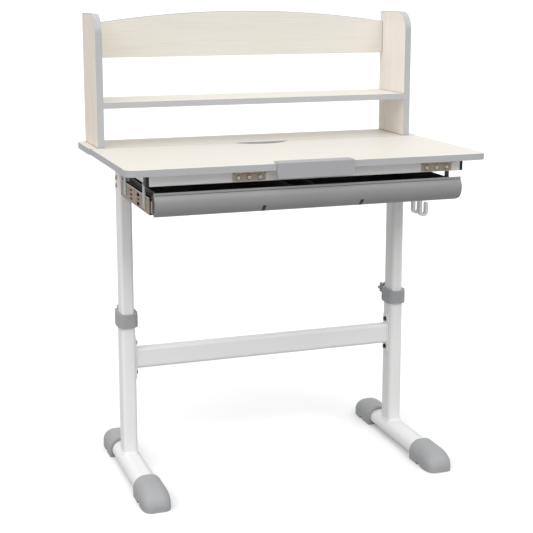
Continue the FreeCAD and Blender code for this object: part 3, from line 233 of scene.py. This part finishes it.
def wear_and_highlight_edges(tree, place, colour, wear_and_highlight, share):
    """Colour that gives way along the edges to a lighter tone of faint wear and painted highlight."""
    mask = use(tree, WEAR_AND_HIGHLIGHT, place).outputs["Mask"]
    return blend(tree, scaled(tree, mask, low=0.0, high=share), colour, wear_and_highlight)


def maple_laminate(name, stretch, pale, warm, vein):
    """Pale maple laminate: two ground tones and a vein; stretch is small along the grain."""
    mat, tree, shader = start_finish(name, roughness=0.42)
    figure = use(tree, MAPLE, place_of(tree, stretch))
    ground = blend(tree, figure.outputs["Figure"], pale, warm)
    veined = blend(tree, scaled(tree, figure.outputs["Streak"], low=0.0, high=0.5), ground, vein)
    pored = blend(tree, scaled(tree, figure.outputs["Pores"], low=0.0, high=0.18), veined, PORE_BROWN)
    tree.links.new(pored, shader.inputs["Base Color"])
    tree.links.new(scaled(tree, figure.outputs["Figure"], low=0.36, high=0.46), shader.inputs["Roughness"])
    bump(tree, shader, figure.outputs["Streak"], strength=0.12, distance=0.0002)
    return mat


def moulded(name, light, dark, wear_and_highlight, roughness, grain, strength, share):
    """Plastic or painted skin: two close tones, a stippled surface and edges lightened by faint wear and a
    painted highlight.
    """
    mat, tree, shader = start_finish(name, roughness)
    place = place_of(tree)
    stipple = use(tree, STIPPLE, place, Grain=grain)
    toned = blend(tree, stipple.outputs["Drift"], light, dark)
    tree.links.new(wear_and_highlight_edges(tree, place, toned, wear_and_highlight, share), shader.inputs["Base Color"])
    spread = scaled(tree, stipple.outputs["Height"], low=roughness - 0.05, high=roughness + 0.06)
    tree.links.new(spread, shader.inputs["Roughness"])
    bump(tree, shader, stipple.outputs["Height"], strength, distance=0.0003)
    return mat


def plated(name, light, dark, roughness, grain):
    """Zinc plated steel with crystal patches."""
    mat, tree, shader = start_finish(name, roughness, metallic=1.0)
    place = place_of(tree)
    zinc = use(tree, ZINC, place, Grain=grain)
    patched = blend(tree, scaled(tree, zinc.outputs["Patch"], low=0.0, high=0.6), light, dark)
    clouded = blend(tree, scaled(tree, zinc.outputs["Cloud"], low=0.0, high=0.5), patched, dark)
    # The edges lighten to the light tone: faint wear and a painted highlight
    tree.links.new(wear_and_highlight_edges(tree, place, clouded, light, share=0.6), shader.inputs["Base Color"])
    spread = scaled(tree, zinc.outputs["Cloud"], low=roughness - 0.06, high=roughness + 0.1)
    tree.links.new(spread, shader.inputs["Roughness"])
    bump(tree, shader, zinc.outputs["Height"], strength=0.1, distance=0.0002)
    return mat


def shade_finish(name, colour):
    """Flat dark tone that paints the shade in openings, joints and creases, and throws nothing back."""
    mat, _, shader = start_finish(name, roughness=0.95, specular=0.0)
    shader.inputs["Base Color"].default_value = (*colour, 1.0)
    return mat


# Stretch of the grain along X and Z, tones of the woods (pale, warm, vein) and of the edges' faint wear and
# painted highlight
ALONG_X = (1.3, 42.0, 42.0)
ALONG_Z = (16.0, 16.0, 0.6)
PORE_BROWN = (0.58, 0.50, 0.41)
BOARD_TONES = (0.80, 0.775, 0.72), (0.775, 0.74, 0.675), (0.725, 0.675, 0.595)
LEFT_SIDE_TONES = (0.90, 0.82, 0.73), (0.84, 0.745, 0.64), (0.74, 0.625, 0.51)
# The right side's tones are a lighter copy of the left side's: painted light on the right side
RIGHT_SIDE_LIT_TONES = (0.91, 0.86, 0.79), (0.88, 0.82, 0.745), (0.82, 0.75, 0.66)
BEECH_TONES = (0.72, 0.58, 0.42), (0.66, 0.51, 0.35), (0.56, 0.42, 0.28)
WHITE_WEAR_AND_HIGHLIGHT = (0.92, 0.92, 0.91)
GREY_WEAR_AND_HIGHLIGHT = (0.56, 0.56, 0.57)
BLACK_WEAR_AND_HIGHLIGHT = (0.10, 0.10, 0.10)

FINISH = {
    "white_steel": moulded(
        "white_powder_coat", (0.855, 0.855, 0.85), (0.835, 0.835, 0.83), WHITE_WEAR_AND_HIGHLIGHT,
        roughness=0.34, grain=1400.0, strength=0.12, share=0.5),
    "grey_plastic": moulded(
        "grey_moulding", (0.385, 0.39, 0.40), (0.365, 0.37, 0.38), GREY_WEAR_AND_HIGHLIGHT,
        roughness=0.5, grain=1100.0, strength=0.25, share=0.4),
    "knob_plastic": moulded(
        "knob_moulding", (0.36, 0.365, 0.37), (0.33, 0.335, 0.34), GREY_WEAR_AND_HIGHLIGHT,
        roughness=0.45, grain=1100.0, strength=0.25, share=0.5),
    "stop_plastic": moulded(
        "stop_moulding", (0.40, 0.40, 0.41), (0.38, 0.38, 0.39), GREY_WEAR_AND_HIGHLIGHT,
        roughness=0.42, grain=1200.0, strength=0.2, share=0.4),
    "drawer_grey": moulded(
        "drawer_moulding", (0.285, 0.285, 0.285), (0.265, 0.262, 0.26), GREY_WEAR_AND_HIGHLIGHT,
        roughness=0.4, grain=1300.0, strength=0.18, share=0.3),
    "black_plastic": moulded(
        "black_moulding", (0.016, 0.016, 0.017), (0.011, 0.011, 0.012), BLACK_WEAR_AND_HIGHLIGHT,
        roughness=0.45, grain=900.0, strength=0.3, share=0.2),
    "edge_band": moulded(
        "edge_strip", (0.46, 0.465, 0.475), (0.44, 0.445, 0.455), GREY_WEAR_AND_HIGHLIGHT,
        roughness=0.4, grain=1500.0, strength=0.1, share=0.5),
    "tan_zinc": plated(
        "tan_zinc", (0.55, 0.455, 0.365), (0.37, 0.295, 0.225), roughness=0.42, grain=300.0),
    "zinc_sheet": plated(
        "zinc_sheet", (0.70, 0.76, 0.77), (0.48, 0.53, 0.54), roughness=0.34, grain=240.0),
    "fastener_steel": plated(
        "fastener_zinc", (0.86, 0.95, 0.95), (0.72, 0.80, 0.80), roughness=0.36, grain=500.0),
    "dark_bolt": plated(
        "bolt_oxide", (0.10, 0.08, 0.065), (0.06, 0.05, 0.04), roughness=0.42, grain=600.0),
    "maple_board": maple_laminate("maple_laminate_wide", ALONG_X, *BOARD_TONES),
    "beech": maple_laminate("beech_dowel", ALONG_X, *BEECH_TONES),
}

# Finishes of nodes and fine pieces that differ from the rest of their slot
left_side_maple = maple_laminate("maple_laminate_upright", ALONG_Z, *LEFT_SIDE_TONES)
# The right side takes a lighter copy of the upright laminate, which paints light on it
right_side_lit_maple = maple_laminate("maple_laminate_upright_lit", ALONG_Z, *RIGHT_SIDE_LIT_TONES)
# Lighter copy of the edge strip for the hutch's bands: painted light
hutch_lit_strip = moulded(
    "hutch_lit_edge_strip", (0.50, 0.507, 0.52), (0.48, 0.487, 0.50), GREY_WEAR_AND_HIGHLIGHT,
    roughness=0.4, grain=1500.0, strength=0.1, share=0.5)
# Lighter copy of the black moulding for the tray: painted light inside the drawer
tray_lit_skin = moulded(
    "tray_lit_moulding", (0.08, 0.08, 0.081), (0.068, 0.068, 0.069), BLACK_WEAR_AND_HIGHLIGHT,
    roughness=0.4, grain=900.0, strength=0.3, share=0.5)
# Near-black zinc of the slides' middle members: painted shade inside the slides
slide_shade = plated(
    "slide_shade_zinc", (0.09, 0.08, 0.07), (0.05, 0.045, 0.04), roughness=0.4, grain=300.0)
slide_tab = plated(
    "slide_tab_zinc", (0.76, 0.69, 0.60), (0.58, 0.51, 0.43), roughness=0.38, grain=300.0)
# Bright zinc of the slides' rolled edges: a painted glint
rolled_edge_glint_zinc = plated(
    "rolled_edge_glint_zinc", (0.92, 0.90, 0.87), (0.80, 0.77, 0.73), roughness=0.24, grain=400.0)
# Darker zinc of the hinge rings: painted shade round the screw heads
dimple_shade_zinc = plated(
    "dimple_shade_zinc", (0.42, 0.36, 0.30), (0.30, 0.25, 0.20), roughness=0.46, grain=300.0)
# Near-black tone of painted shade in the slides' gaps and slots
painted_shade_black = shade_finish("painted_shade_black", (0.006, 0.006, 0.006))
# Dark brown tone of painted shadow at the hutch's joints
joint_shadow_brown = shade_finish("joint_shadow_brown", (0.13, 0.105, 0.08))
# Dark grey tone of painted shadow under the drawer's lip
crease_shadow_grey = shade_finish("crease_shadow_grey", (0.07, 0.07, 0.07))


def dress(node, mat):
    data = nodes[node].data
    data.materials.clear()
    data.materials.append(mat)


for part in frame["record"]["subparts"]:
    dress(part["node"], FINISH[part["material_slot"]])
for side, _ in SIDES:
    dress("slide_middle_" + side, slide_shade)
    dress("slide_inner_" + side, slide_tab)
dress("hutch_side_left", left_side_maple)
dress("hutch_side_right", right_side_lit_maple)
dress("socket_bolts", FINISH["tan_zinc"])
dress("drawer_tray", tray_lit_skin)
for band in ("hutch_side_bands", "hutch_shelf_band", "hutch_back_band"):
    dress(band, hutch_lit_strip)


# Places of the fine pieces, read from the frame, and their own sizes, in metres

def reach(node, axis):
    """Lowest and highest place of a node along an axis."""
    places = [vertex.co[axis] for vertex in nodes[node].data.vertices]
    return min(places), max(places)


def middle_and_half(node, axis):
    low, high = reach(node, axis)
    return (low + high) / 2, (high - low) / 2


def circle_through(a, b, c):
    """Centre and radius of the circle through three points of a plane."""
    d = 2 * (a[0] * (b[1] - c[1]) + b[0] * (c[1] - a[1]) + c[0] * (a[1] - b[1]))
    squares = [p[0] ** 2 + p[1] ** 2 for p in (a, b, c)]
    u = (squares[0] * (b[1] - c[1]) + squares[1] * (c[1] - a[1]) + squares[2] * (a[1] - b[1])) / d
    v = (squares[0] * (c[0] - b[0]) + squares[1] * (a[0] - c[0]) + squares[2] * (b[0] - a[0])) / d
    return (u, v), math.dist((u, v), a)


SHARP_EDGE = math.radians(40)

# Columns, foot bars, crossbar and their weld beads
COLUMN_X, COLUMN_HALF_W = middle_and_half("lower_column_right", X)
COLUMN_Y, COLUMN_HALF_D = middle_and_half("lower_column_right", Y)
COLUMN_R = 0.009
BAR_TOP_Z = reach("foot_bar_right", Z)[1]
BAR_R = 0.021
BAR_FLAT = middle_and_half("foot_bar_right", X)[1] - BAR_R
PLATE_T = 0.003
PLATE_X = reach("crossbar", X)[1] - PLATE_T
CROSS_Z = middle_and_half("crossbar", Z)[0]
CROSS_HALF_H = 0.025
CROSS_HALF_D = 0.012
CROSS_R = 0.009
BEAD_R = 0.0027
BEAD_SUNK = 0.0007
BEAD_LIFT = 0.0003
BEAD_STEP = 0.0008
BEAD_SIDES = 10
RIPPLE = 0.07
RIPPLE_RINGS = 4

# Painted shade of the screw recesses, and the rings round the hinge screws, whose section is given as
# radius and lift
HEAD_REACH = 0.011
RECESS_ARM = 0.0021
RECESS_WIDE = 0.0005
RECESS_TIP = 0.00035
RECESS_TURN = 12
RECESS_PROUD = 0.00004
RECESS_SUNK = 0.00008
LEAF_T = 0.0016
HINGE_FACE_Y = reach("hinge_leaves_lower", Y)[1] - LEAF_T
DIMPLE = ((0.0045, -0.0001), (0.0049, 0.0004), (0.0054, 0.00045), (0.0061, -0.0001))
DIMPLE_SIDES = 28

# Drawer front: its bow through three points, its slits with painted shade in them, the painted shadow line
# under its lip and its black ends
FRONT_HALF = reach("drawer_front", X)[1]
FRONT_REAR_Y = reach("drawer_front", Y)[1]
FRONT_LOW_Z, FRONT_TOP_Z = reach("drawer_front", Z)
LIP_H = 0.0045
BOW_CURL = 0.020
BOW_BULGE = 0.0065
BOW_MIDDLE_RISE = 0.02185
BOW_UPPER = (FRONT_REAR_Y - BOW_CURL, FRONT_TOP_Z - LIP_H)
BOW_MIDDLE = (BOW_UPPER[0] - BOW_BULGE, FRONT_LOW_Z + BOW_MIDDLE_RISE)
BOW_LOWER = (FRONT_REAR_Y, FRONT_LOW_Z)
BOW_CENTRE, BOW_R = circle_through(BOW_UPPER, BOW_MIDDLE, BOW_LOWER)
SLIT_SHARE = 0.319
SLIT_X = SLIT_SHARE * FRONT_HALF
SLIT_HALF = 0.0037
SLIT_LINED = 0.82
SLIT_PROUD = 0.00012
SLIT_DEEP = 0.0028
SLIT_STEPS = 12
CREASE_INSET = 0.0005
CREASE_PROUD = 0.0011
CREASE_DEEP = 0.00055
CREASE_DROP = 0.0009
CREASE_RISE = 0.00005
CREASE_HALF = FRONT_HALF - CREASE_INSET
CREASE_Y = (BOW_UPPER[0] - CREASE_PROUD, BOW_UPPER[0] + CREASE_DEEP)
CREASE_Z = (BOW_UPPER[1] - CREASE_DROP, BOW_UPPER[1] + CREASE_RISE)
CHEEK_DEEP = 0.01205
CHEEK_RISE = 0.0115
CHEEK_PROUD = 0.0005
CHEEK_SUNK = 0.0015
CHEEK_INSET = 0.0005
CHEEK_STEPS = 18
CHEEK_BACK_Y = BOW_UPPER[0] + CHEEK_DEEP
CHEEK_LOW_Z = FRONT_LOW_Z + CHEEK_RISE
CHEEK_X = (FRONT_HALF + CHEEK_PROUD, FRONT_HALF - CHEEK_SUNK)

# Fixed slide members: rolled edge with a painted glint, painted shadow line on top and painted shade in the
# two larger slots
SLIDE_IN_X, SLIDE_OUT_X = reach("slide_outer_right", X)
SLIDE_FRONT_Y, SLIDE_REAR_Y = reach("slide_outer_right", Y)
SLIDE_TOP_Z = reach("slide_outer_right", Z)[1]
SLIDE_MIDDLE_Z = middle_and_half("slide_outer_right", Z)[0]
EDGE_R = 0.0010
EDGE_SUNK = 0.0006
EDGE_SIDES = 12
EDGE_FRONT_INSET = 0.00045
EDGE_REAR_INSET = 0.00055
EDGE_Y = (SLIDE_FRONT_Y + EDGE_FRONT_INSET, SLIDE_REAR_Y - EDGE_REAR_INSET)
GAP_INNER_INSET = 0.0023
GAP_OUTER_INSET = 0.0026
GAP_SUNK = 0.0005
GAP_PROUD = 0.00006
GAP_X = (SLIDE_IN_X + GAP_INNER_INSET, SLIDE_OUT_X - GAP_OUTER_INSET)
GAP_Z = (SLIDE_TOP_Z - GAP_SUNK, SLIDE_TOP_Z + GAP_PROUD)
PUNCH_BACK = 0.09585
PUNCH_RISE = 0.00945
PUNCH_HALF_L = 0.0105
PUNCH_R = 0.0034
PUNCH_PROUD = 0.00012
PUNCH_SUNK = 0.0008
PUNCH_STEPS = 8
PUNCH_Y = SLIDE_FRONT_Y + PUNCH_BACK
PUNCH_X = (SLIDE_OUT_X + PUNCH_PROUD, SLIDE_OUT_X - PUNCH_SUNK)

# Hutch: the dark lines of painted shadow at its joints
JOINT_PROUD = 0.00025
JOINT_LINE = 0.0008
JOINT_FRONT_INSET = 0.00035
JOINT_REAR_INSET = 0.00045
BACK_LOW_INSET = 0.0005
BACK_TOP_INSET = 0.0003
SIDE_INNER_X, SIDE_OUTER_X = reach("hutch_side_right", X)
SIDE_FRONT_Y, SIDE_REAR_Y = reach("hutch_side_right", Y)
JOINT_Y = (SIDE_FRONT_Y + JOINT_FRONT_INSET, SIDE_REAR_Y - JOINT_REAR_INSET)
BACK_FACE_Y = reach("hutch_back", Y)[0]
BACK_LOW_Z = reach("hutch_back", Z)[0]
BACK_BAND_Z = reach("hutch_back_band", Z)[0]
BACK_END_Z = (BACK_LOW_Z + BACK_LOW_INSET, BACK_BAND_Z - BACK_TOP_INSET)
SHELF_FACES_Z = reach("hutch_shelf", Z)
BOARD_TOP_Z = reach("rear_board", Z)[1]


# Shapes of the fine pieces, each a list of corners and a list of faces

def prism(rim, axis, start, end):
    """Straight prism along an axis; rim gives the other two coordinates of its outline."""
    verts = []
    for level in (start, end):
        for pair in rim:
            point = list(pair)
            point.insert(axis, level)
            verts.append(tuple(point))
    count = len(rim)
    faces = [tuple(range(count)), tuple(range(2 * count - 1, count - 1, -1))]
    faces += [(k, count + k, count + (k + 1) % count, (k + 1) % count) for k in range(count)]
    return verts, faces


def strip(x, y, z):
    """Box between two places along each axis."""
    rim = [(x[0], y[0]), (x[1], y[0]), (x[1], y[1]), (x[0], y[1])]
    return prism(rim, Z, z[0], z[1])


def joined(shapes):
    verts = []
    faces = []
    for more, sides in shapes:
        faces += [tuple(len(verts) + k for k in side) for side in sides]
        verts += more
    return verts, faces


def new_piece(name, shape, body, mat):
    """Piece of the visual model with its faces turned outward, smooth but for its sharp edges."""
    verts, faces = shape
    mesh = bpy.data.meshes.new(name)
    mesh.from_pydata(verts, [], faces)
    turned = bmesh.new()
    turned.from_mesh(mesh)
    bmesh.ops.recalc_face_normals(turned, faces=turned.faces)
    turned.to_mesh(mesh)
    turned.free()
    for face in mesh.polygons:
        face.use_smooth = True
    mesh.set_sharp_from_angle(angle=SHARP_EDGE)
    mesh.materials.append(mat)
    piece = bpy.data.objects.new(name, mesh)
    bpy.context.collection.objects.link(piece)
    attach(piece, body)


# Weld beads round the feet of the columns and the ends of the crossbar

def rounded_loop(half_a, half_b, radius, step):
    """Points and outward directions round a rectangle with rounded corners, about step apart."""
    loop = []
    corners = ((1, -1, -90), (1, 1, 0), (-1, 1, 90), (-1, -1, 180))
    for k, (sign_a, sign_b, start) in enumerate(corners):
        mid_a = sign_a * (half_a - radius)
        mid_b = sign_b * (half_b - radius)
        turns = max(2, round(radius * math.pi / 2 / step))
        for t in range(turns):
            angle = math.radians(start + 90 * t / turns)
            out = (math.cos(angle), math.sin(angle))
            loop.append((mid_a + radius * out[0], mid_b + radius * out[1], *out))
        side = (half_a if k % 2 else half_b) - radius
        out = (math.cos(math.radians(start + 90)), math.sin(math.radians(start + 90)))
        runs = max(1, round(2 * side / step))
        first = (mid_a + radius * out[0], mid_b + radius * out[1])
        along = (-out[1], out[0])
        for t in range(runs):
            way = 2 * side * t / runs
            loop.append((first[0] + along[0] * way, first[1] + along[1] * way, *out))
    return loop


def bead(loop):
    """Closed weld bead: rings about (centre, outward, up) that ripple and end within the tube's wall."""
    verts = []
    for k, (centre, outward, up) in enumerate(loop):
        size = BEAD_R * (1 + RIPPLE * math.cos(FULL_TURN * k / RIPPLE_RINGS))
        for s in range(BEAD_SIDES):
            angle = FULL_TURN * s / BEAD_SIDES
            c = max(size * math.cos(angle), -BEAD_SUNK)
            h = size * math.sin(angle)
            verts.append(tuple(p + c * o + h * u for p, o, u in zip(centre, outward, up)))
    faces = []
    rings = len(loop)
    for k in range(rings):
        here = k * BEAD_SIDES
        there = (k + 1) % rings * BEAD_SIDES
        for s in range(BEAD_SIDES):
            t = (s + 1) % BEAD_SIDES
            faces.append((here + s, there + s, there + t, here + t))
    return verts, faces


def bar_top(across):
    """Height of the foot bar's round back at a distance from its middle line."""
    over = max(abs(across) - BAR_FLAT, 0.0)
    return BAR_TOP_Z - BAR_R + math.sqrt(BAR_R ** 2 - over ** 2)


def column_beads():
    for side, sign in SIDES:
        loop = []
        for a, b, out_a, out_b in rounded_loop(COLUMN_HALF_W, COLUMN_HALF_D, COLUMN_R, BEAD_STEP):
            centre = (sign * COLUMN_X + a, COLUMN_Y + b, bar_top(a) + BEAD_LIFT)
            loop.append((centre, (out_a, out_b, 0.0), (0.0, 0.0, 1.0)))
        new_piece("column_weld_" + side, bead(loop), "base", FINISH["white_steel"])


def crossbar_beads():
    for side, sign in SIDES:
        loop = []
        for a, b, out_a, out_b in rounded_loop(CROSS_HALF_D, CROSS_HALF_H, CROSS_R, BEAD_STEP):
            centre = (sign * PLATE_X, COLUMN_Y + a, CROSS_Z + b)
            loop.append((centre, (0.0, out_a, out_b), (-sign, 0.0, 0.0)))
        new_piece("crossbar_weld_" + side, bead(loop), "base", FINISH["white_steel"])


# Painted shade of the screws' cross recesses, and the rings round the hinge screws

def head_spots(node, axis, sign, half=0):
    """Middle of each screw's driven face; axis and sign give the way the heads face, half the side in X."""
    across = [k for k in (X, Y, Z) if k != axis]
    heaps = []
    for vertex in nodes[node].data.vertices:
        point = tuple(vertex.co)
        if half and point[X] * half < 0:
            continue
        for heap in heaps:
            if all(abs(point[k] - heap[0][k]) < HEAD_REACH for k in across):
                heap.append(point)
                break
        else:
            heaps.append([point])
    spots = []
    for heap in heaps:
        spot = [0.0, 0.0, 0.0]
        for k in across:
            places = [p[k] for p in heap]
            spot[k] = (min(places) + max(places)) / 2
        ends = [p[axis] for p in heap]
        spot[axis] = max(ends) if sign > 0 else min(ends)
        spots.append(tuple(spot))
    return spots


def cross_recess(spot, axis, sign, grow):
    """Dark cross that lies on a screw head as painted shade of its recess, its arms narrowing outward."""
    middle = [spot[k] for k in (X, Y, Z) if k != axis]
    rim = []
    for k in range(4):
        angle = math.radians(90 * k + RECESS_TURN)
        along = (math.cos(angle), math.sin(angle))
        aside = (-along[1], along[0])
        for far, wide in ((RECESS_WIDE, -RECESS_WIDE), (RECESS_ARM, -RECESS_TIP), (RECESS_ARM, RECESS_TIP)):
            rim.append([middle[i] + grow * (far * along[i] + wide * aside[i]) for i in range(2)])
    return prism(rim, axis, spot[axis] + sign * RECESS_PROUD, spot[axis] - sign * RECESS_SUNK)


def recesses(node, axis, sign, grow=1.0, halves=(0,)):
    """Painted shade of the cross recesses of all the screws in a node, as one piece on the node's body."""
    shapes = []
    for half in halves:
        way = sign * (half or 1)
        shapes += [cross_recess(spot, axis, way, grow) for spot in head_spots(node, axis, way, half)]
    body = nodes[node]["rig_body"]
    new_piece(node + "_recesses", joined(shapes), body, FINISH["dark_bolt"])


def dimple(x, z):
    """Raised ring on a hinge leaf."""
    verts = []
    faces = []
    rows = len(DIMPLE)
    for s in range(DIMPLE_SIDES):
        angle = FULL_TURN * s / DIMPLE_SIDES
        for radius, lift in DIMPLE:
            verts.append((x + radius * math.cos(angle), HINGE_FACE_Y - lift, z + radius * math.sin(angle)))
        here = s * rows
        there = (s + 1) % DIMPLE_SIDES * rows
        for k in range(rows):
            after = (k + 1) % rows
            faces.append((here + k, here + after, there + after, there + k))
    return verts, faces


def hinge_dimples():
    """Raised ring round each hinge screw, where the leaf is pressed for the head, toned darker as painted
    shade round the head.
    """
    rings = joined(dimple(x, z) for x, _, z in head_spots("hinge_screws", Y, -1))
    new_piece("hinge_dimples", rings, nodes["hinge_screws"]["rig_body"], dimple_shade_zinc)


# Trim of the drawer's front

def bow_angle(point):
    return math.atan2(point[1] - BOW_CENTRE[1], point[0] - BOW_CENTRE[0]) % FULL_TURN


def slit_linings():
    """Black lining of each slit, bent as the drawer's front is: the black tray seen through the slit, with
    painted shade inside it.
    """
    foot = bow_angle(BOW_LOWER)
    span = (bow_angle(BOW_MIDDLE) - foot) * SLIT_LINED
    angles = [foot + span * k / SLIT_STEPS for k in range(SLIT_STEPS + 1)]
    rim = []
    for radius, order in ((BOW_R + SLIT_PROUD, angles), (BOW_R - SLIT_DEEP, reversed(angles))):
        for angle in order:
            rim.append((BOW_CENTRE[0] + radius * math.cos(angle), BOW_CENTRE[1] + radius * math.sin(angle)))
    for side, sign in SIDES:
        lining = prism(rim, X, sign * SLIT_X - SLIT_HALF, sign * SLIT_X + SLIT_HALF)
        new_piece("slit_lining_" + side, lining, "drawer", FINISH["black_plastic"])


def cheek_facings():
    """Black rim of the tray's end plates, in the ends of the curved front."""
    rim = [(CHEEK_BACK_Y, CHEEK_LOW_Z)]
    for k in range(CHEEK_STEPS + 1):
        z = CHEEK_LOW_Z + (BOW_UPPER[1] - CHEEK_LOW_Z) * k / CHEEK_STEPS
        depth = math.sqrt((BOW_R - CHEEK_INSET) ** 2 - (z - BOW_CENTRE[1]) ** 2)
        rim.append((BOW_CENTRE[0] - depth, z))
    rim.append((CHEEK_BACK_Y, BOW_UPPER[1]))
    for side, sign in SIDES:
        facing = prism(rim, X, sign * CHEEK_X[0], sign * CHEEK_X[1])
        new_piece("cheek_facing_" + side, facing, "drawer", FINISH["black_plastic"])


def front_crease():
    """Painted shadow line in the step under the lip of the drawer's front."""
    line = strip((-CREASE_HALF, CREASE_HALF), CREASE_Y, CREASE_Z)
    new_piece("front_crease", line, "drawer", crease_shadow_grey)


# Trim of the fixed slide members

def slide_edges():
    """Rolled upper edge of each fixed slide member, in a bright zinc that paints a glint along it."""
    for side, sign in SIDES:
        rim = []
        for s in range(EDGE_SIDES):
            angle = FULL_TURN * s / EDGE_SIDES
            across = sign * (SLIDE_OUT_X - EDGE_SUNK) + EDGE_R * math.cos(angle)
            rim.append((across, SLIDE_TOP_Z - EDGE_SUNK + EDGE_R * math.sin(angle)))
        body = nodes["slide_outer_" + side]["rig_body"]
        new_piece("slide_edge_" + side, prism(rim, Y, *EDGE_Y), body, rolled_edge_glint_zinc)


def slide_gaps():
    """Painted shadow: dark line on top of each fixed slide member, between its rolled edge and the tray."""
    for side, sign in SIDES:
        line = strip([sign * x for x in GAP_X], EDGE_Y, GAP_Z)
        new_piece("slide_gap_" + side, line, nodes["slide_outer_" + side]["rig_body"], painted_shade_black)


def slot_outline(z):
    """Outline in Y and Z of a slot with round ends."""
    rim = []
    for end, start in ((1, -90), (-1, 90)):
        for k in range(PUNCH_STEPS + 1):
            angle = math.radians(start + 180 * k / PUNCH_STEPS)
            along = end * (PUNCH_HALF_L - PUNCH_R) + PUNCH_R * math.cos(angle)
            rim.append((PUNCH_Y + along, z + PUNCH_R * math.sin(angle)))
    return rim


def slide_punches():
    """Painted shade: black fill of the two larger punched slots in each fixed slide member."""
    outlines = [slot_outline(SLIDE_MIDDLE_Z + rise) for rise in (-PUNCH_RISE, PUNCH_RISE)]
    for side, sign in SIDES:
        slots = joined(prism(rim, X, sign * PUNCH_X[0], sign * PUNCH_X[1]) for rim in outlines)
        body = nodes["slide_outer_" + side]["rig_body"]
        new_piece("slide_punches_" + side, slots, body, painted_shade_black)


# Painted shadow at the joints of the hutch

def hutch_joints():
    """Fine dark line of painted shadow where the hutch's sides stand on the board and where back and shelf
    meet the sides.
    """
    def about(place):
        return place - JOINT_PROUD, place + JOINT_PROUD

    meeting = (SIDE_INNER_X - JOINT_LINE, SIDE_INNER_X + JOINT_PROUD)
    foot_z = (BOARD_TOP_Z - JOINT_PROUD, BOARD_TOP_Z + JOINT_LINE)
    lines = [(about(x), JOINT_Y, foot_z) for x in (SIDE_INNER_X, SIDE_OUTER_X)]
    lines.append((meeting, about(BACK_FACE_Y), BACK_END_Z))
    lines += [(meeting, JOINT_Y, about(z)) for z in SHELF_FACES_Z]
    shapes = [strip([sign * place for place in x], y, z) for _, sign in SIDES for x, y, z in lines]
    new_piece("hutch_joints", joined(shapes), nodes["hutch_shelf"]["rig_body"], joint_shadow_brown)


column_beads()
crossbar_beads()
cheek_facings()
recesses("hinge_screws", Y, -1, grow=0.75)
recesses("hook_screws", X, 1, grow=0.9)
recesses("socket_bolts", X, 1, grow=1.2, halves=(-1, 1))
for screws in ("board_screws", "hutch_screws", "panel_screws"):
    recesses(screws, Z, -1)
hinge_dimples()
slit_linings()
slide_edges()
slide_gaps()
slide_punches()
hutch_joints()
front_crease()


# Studio: pale floor, soft light from above and a camera at the photograph's angle

FLOOR_REACH = 400.0
FLOOR_DROP = 0.0004
FLOOR_BOUNCE = (0.44, 0.44, 0.44)
FLOOR_SHOWN = (0.88, 0.88, 0.88)
FLOOR_GLOW = 0.13
SENSOR_WIDTH = 36.0
FAR_CLIP = 1000.0


def studio_floor():
    """White paper that throws back less light than it shows, so that what faces down stays in shade."""
    mesh = bpy.data.meshes.new("studio_floor")
    r = FLOOR_REACH
    mesh.from_pydata([(-r, -r, 0), (r, -r, 0), (r, r, 0), (-r, r, 0)], [], [(0, 1, 2, 3)])
    floor = bpy.data.objects.new("studio_floor", mesh)
    bpy.context.collection.objects.link(floor)
    floor.location.z = -FLOOR_DROP
    mat, tree, shader = start_finish("floor_paper", roughness=0.9, specular=0.0)
    rays = tree.nodes.new("ShaderNodeLightPath").outputs["Is Camera Ray"]
    tree.links.new(blend(tree, rays, FLOOR_BOUNCE, FLOOR_SHOWN), shader.inputs["Base Color"])
    shader.inputs["Emission Color"].default_value = PURE_WHITE
    tree.links.new(math_node(tree, "MULTIPLY", rays, FLOOR_GLOW), shader.inputs["Emission Strength"])
    mesh.materials.append(mat)


def sun(name, azimuth, elevation, strength, spread):
    """Soft sun; azimuth is where it stands, seen from above, 0 in front of the desk and 90 on its right."""
    lamp = bpy.data.lights.new(name, "SUN")
    lamp.energy = strength
    lamp.angle = math.radians(spread)
    made = bpy.data.objects.new(name, lamp)
    bpy.context.collection.objects.link(made)
    made.rotation_euler = (math.radians(90 - elevation), 0, math.radians(azimuth))


def studio_air(horizon, zenith):
    """White air that gives more light from the top than from the horizon, and shows white to the camera."""
    world = bpy.data.worlds.new("studio_air")
    bpy.context.scene.world = world
    world.use_nodes = True
    tree = world.node_tree
    sky = tree.nodes["Background"]
    sky.inputs["Color"].default_value = PURE_WHITE
    split = tree.nodes.new("ShaderNodeSeparateXYZ")
    tree.links.new(tree.nodes.new("ShaderNodeTexCoord").outputs["Generated"], split.inputs["Vector"])
    glow = tree.nodes.new("ShaderNodeMix")
    tree.links.new(tree.nodes.new("ShaderNodeLightPath").outputs["Is Camera Ray"], glow.inputs["Factor"])
    tree.links.new(scaled(tree, split.outputs["Z"], horizon, zenith), glow.inputs[2])
    glow.inputs[3].default_value = 1.0
    tree.links.new(glow.outputs[0], sky.inputs["Strength"])


def camera(place, turn, tip, lens, rise):
    """Camera at a place, turned to its right and tipped down by degrees, with a vertical shift."""
    made = bpy.data.objects.new("photo_camera", bpy.data.cameras.new("photo_camera"))
    bpy.context.collection.objects.link(made)
    made.location = place
    made.rotation_euler = (math.radians(90 - tip), 0, math.radians(-turn))
    made.data.sensor_width = SENSOR_WIDTH
    made.data.lens = lens
    made.data.shift_y = rise
    made.data.clip_end = FAR_CLIP
    bpy.context.scene.camera = made


studio_floor()
studio_air(horizon=0.42, zenith=0.90)
sun("key_sun", azimuth=12, elevation=41, strength=0.95, spread=35)
sun("fill_sun", azimuth=-64, elevation=45, strength=1.15, spread=60)
sun("back_sun", azimuth=165, elevation=40, strength=0.3, spread=70)
camera(place=(-0.9183, -2.5743, 1.0995), turn=19.20, tip=11.02, lens=82.53, rise=-0.08)
bpy.context.scene.view_settings.view_transform = "Standard"
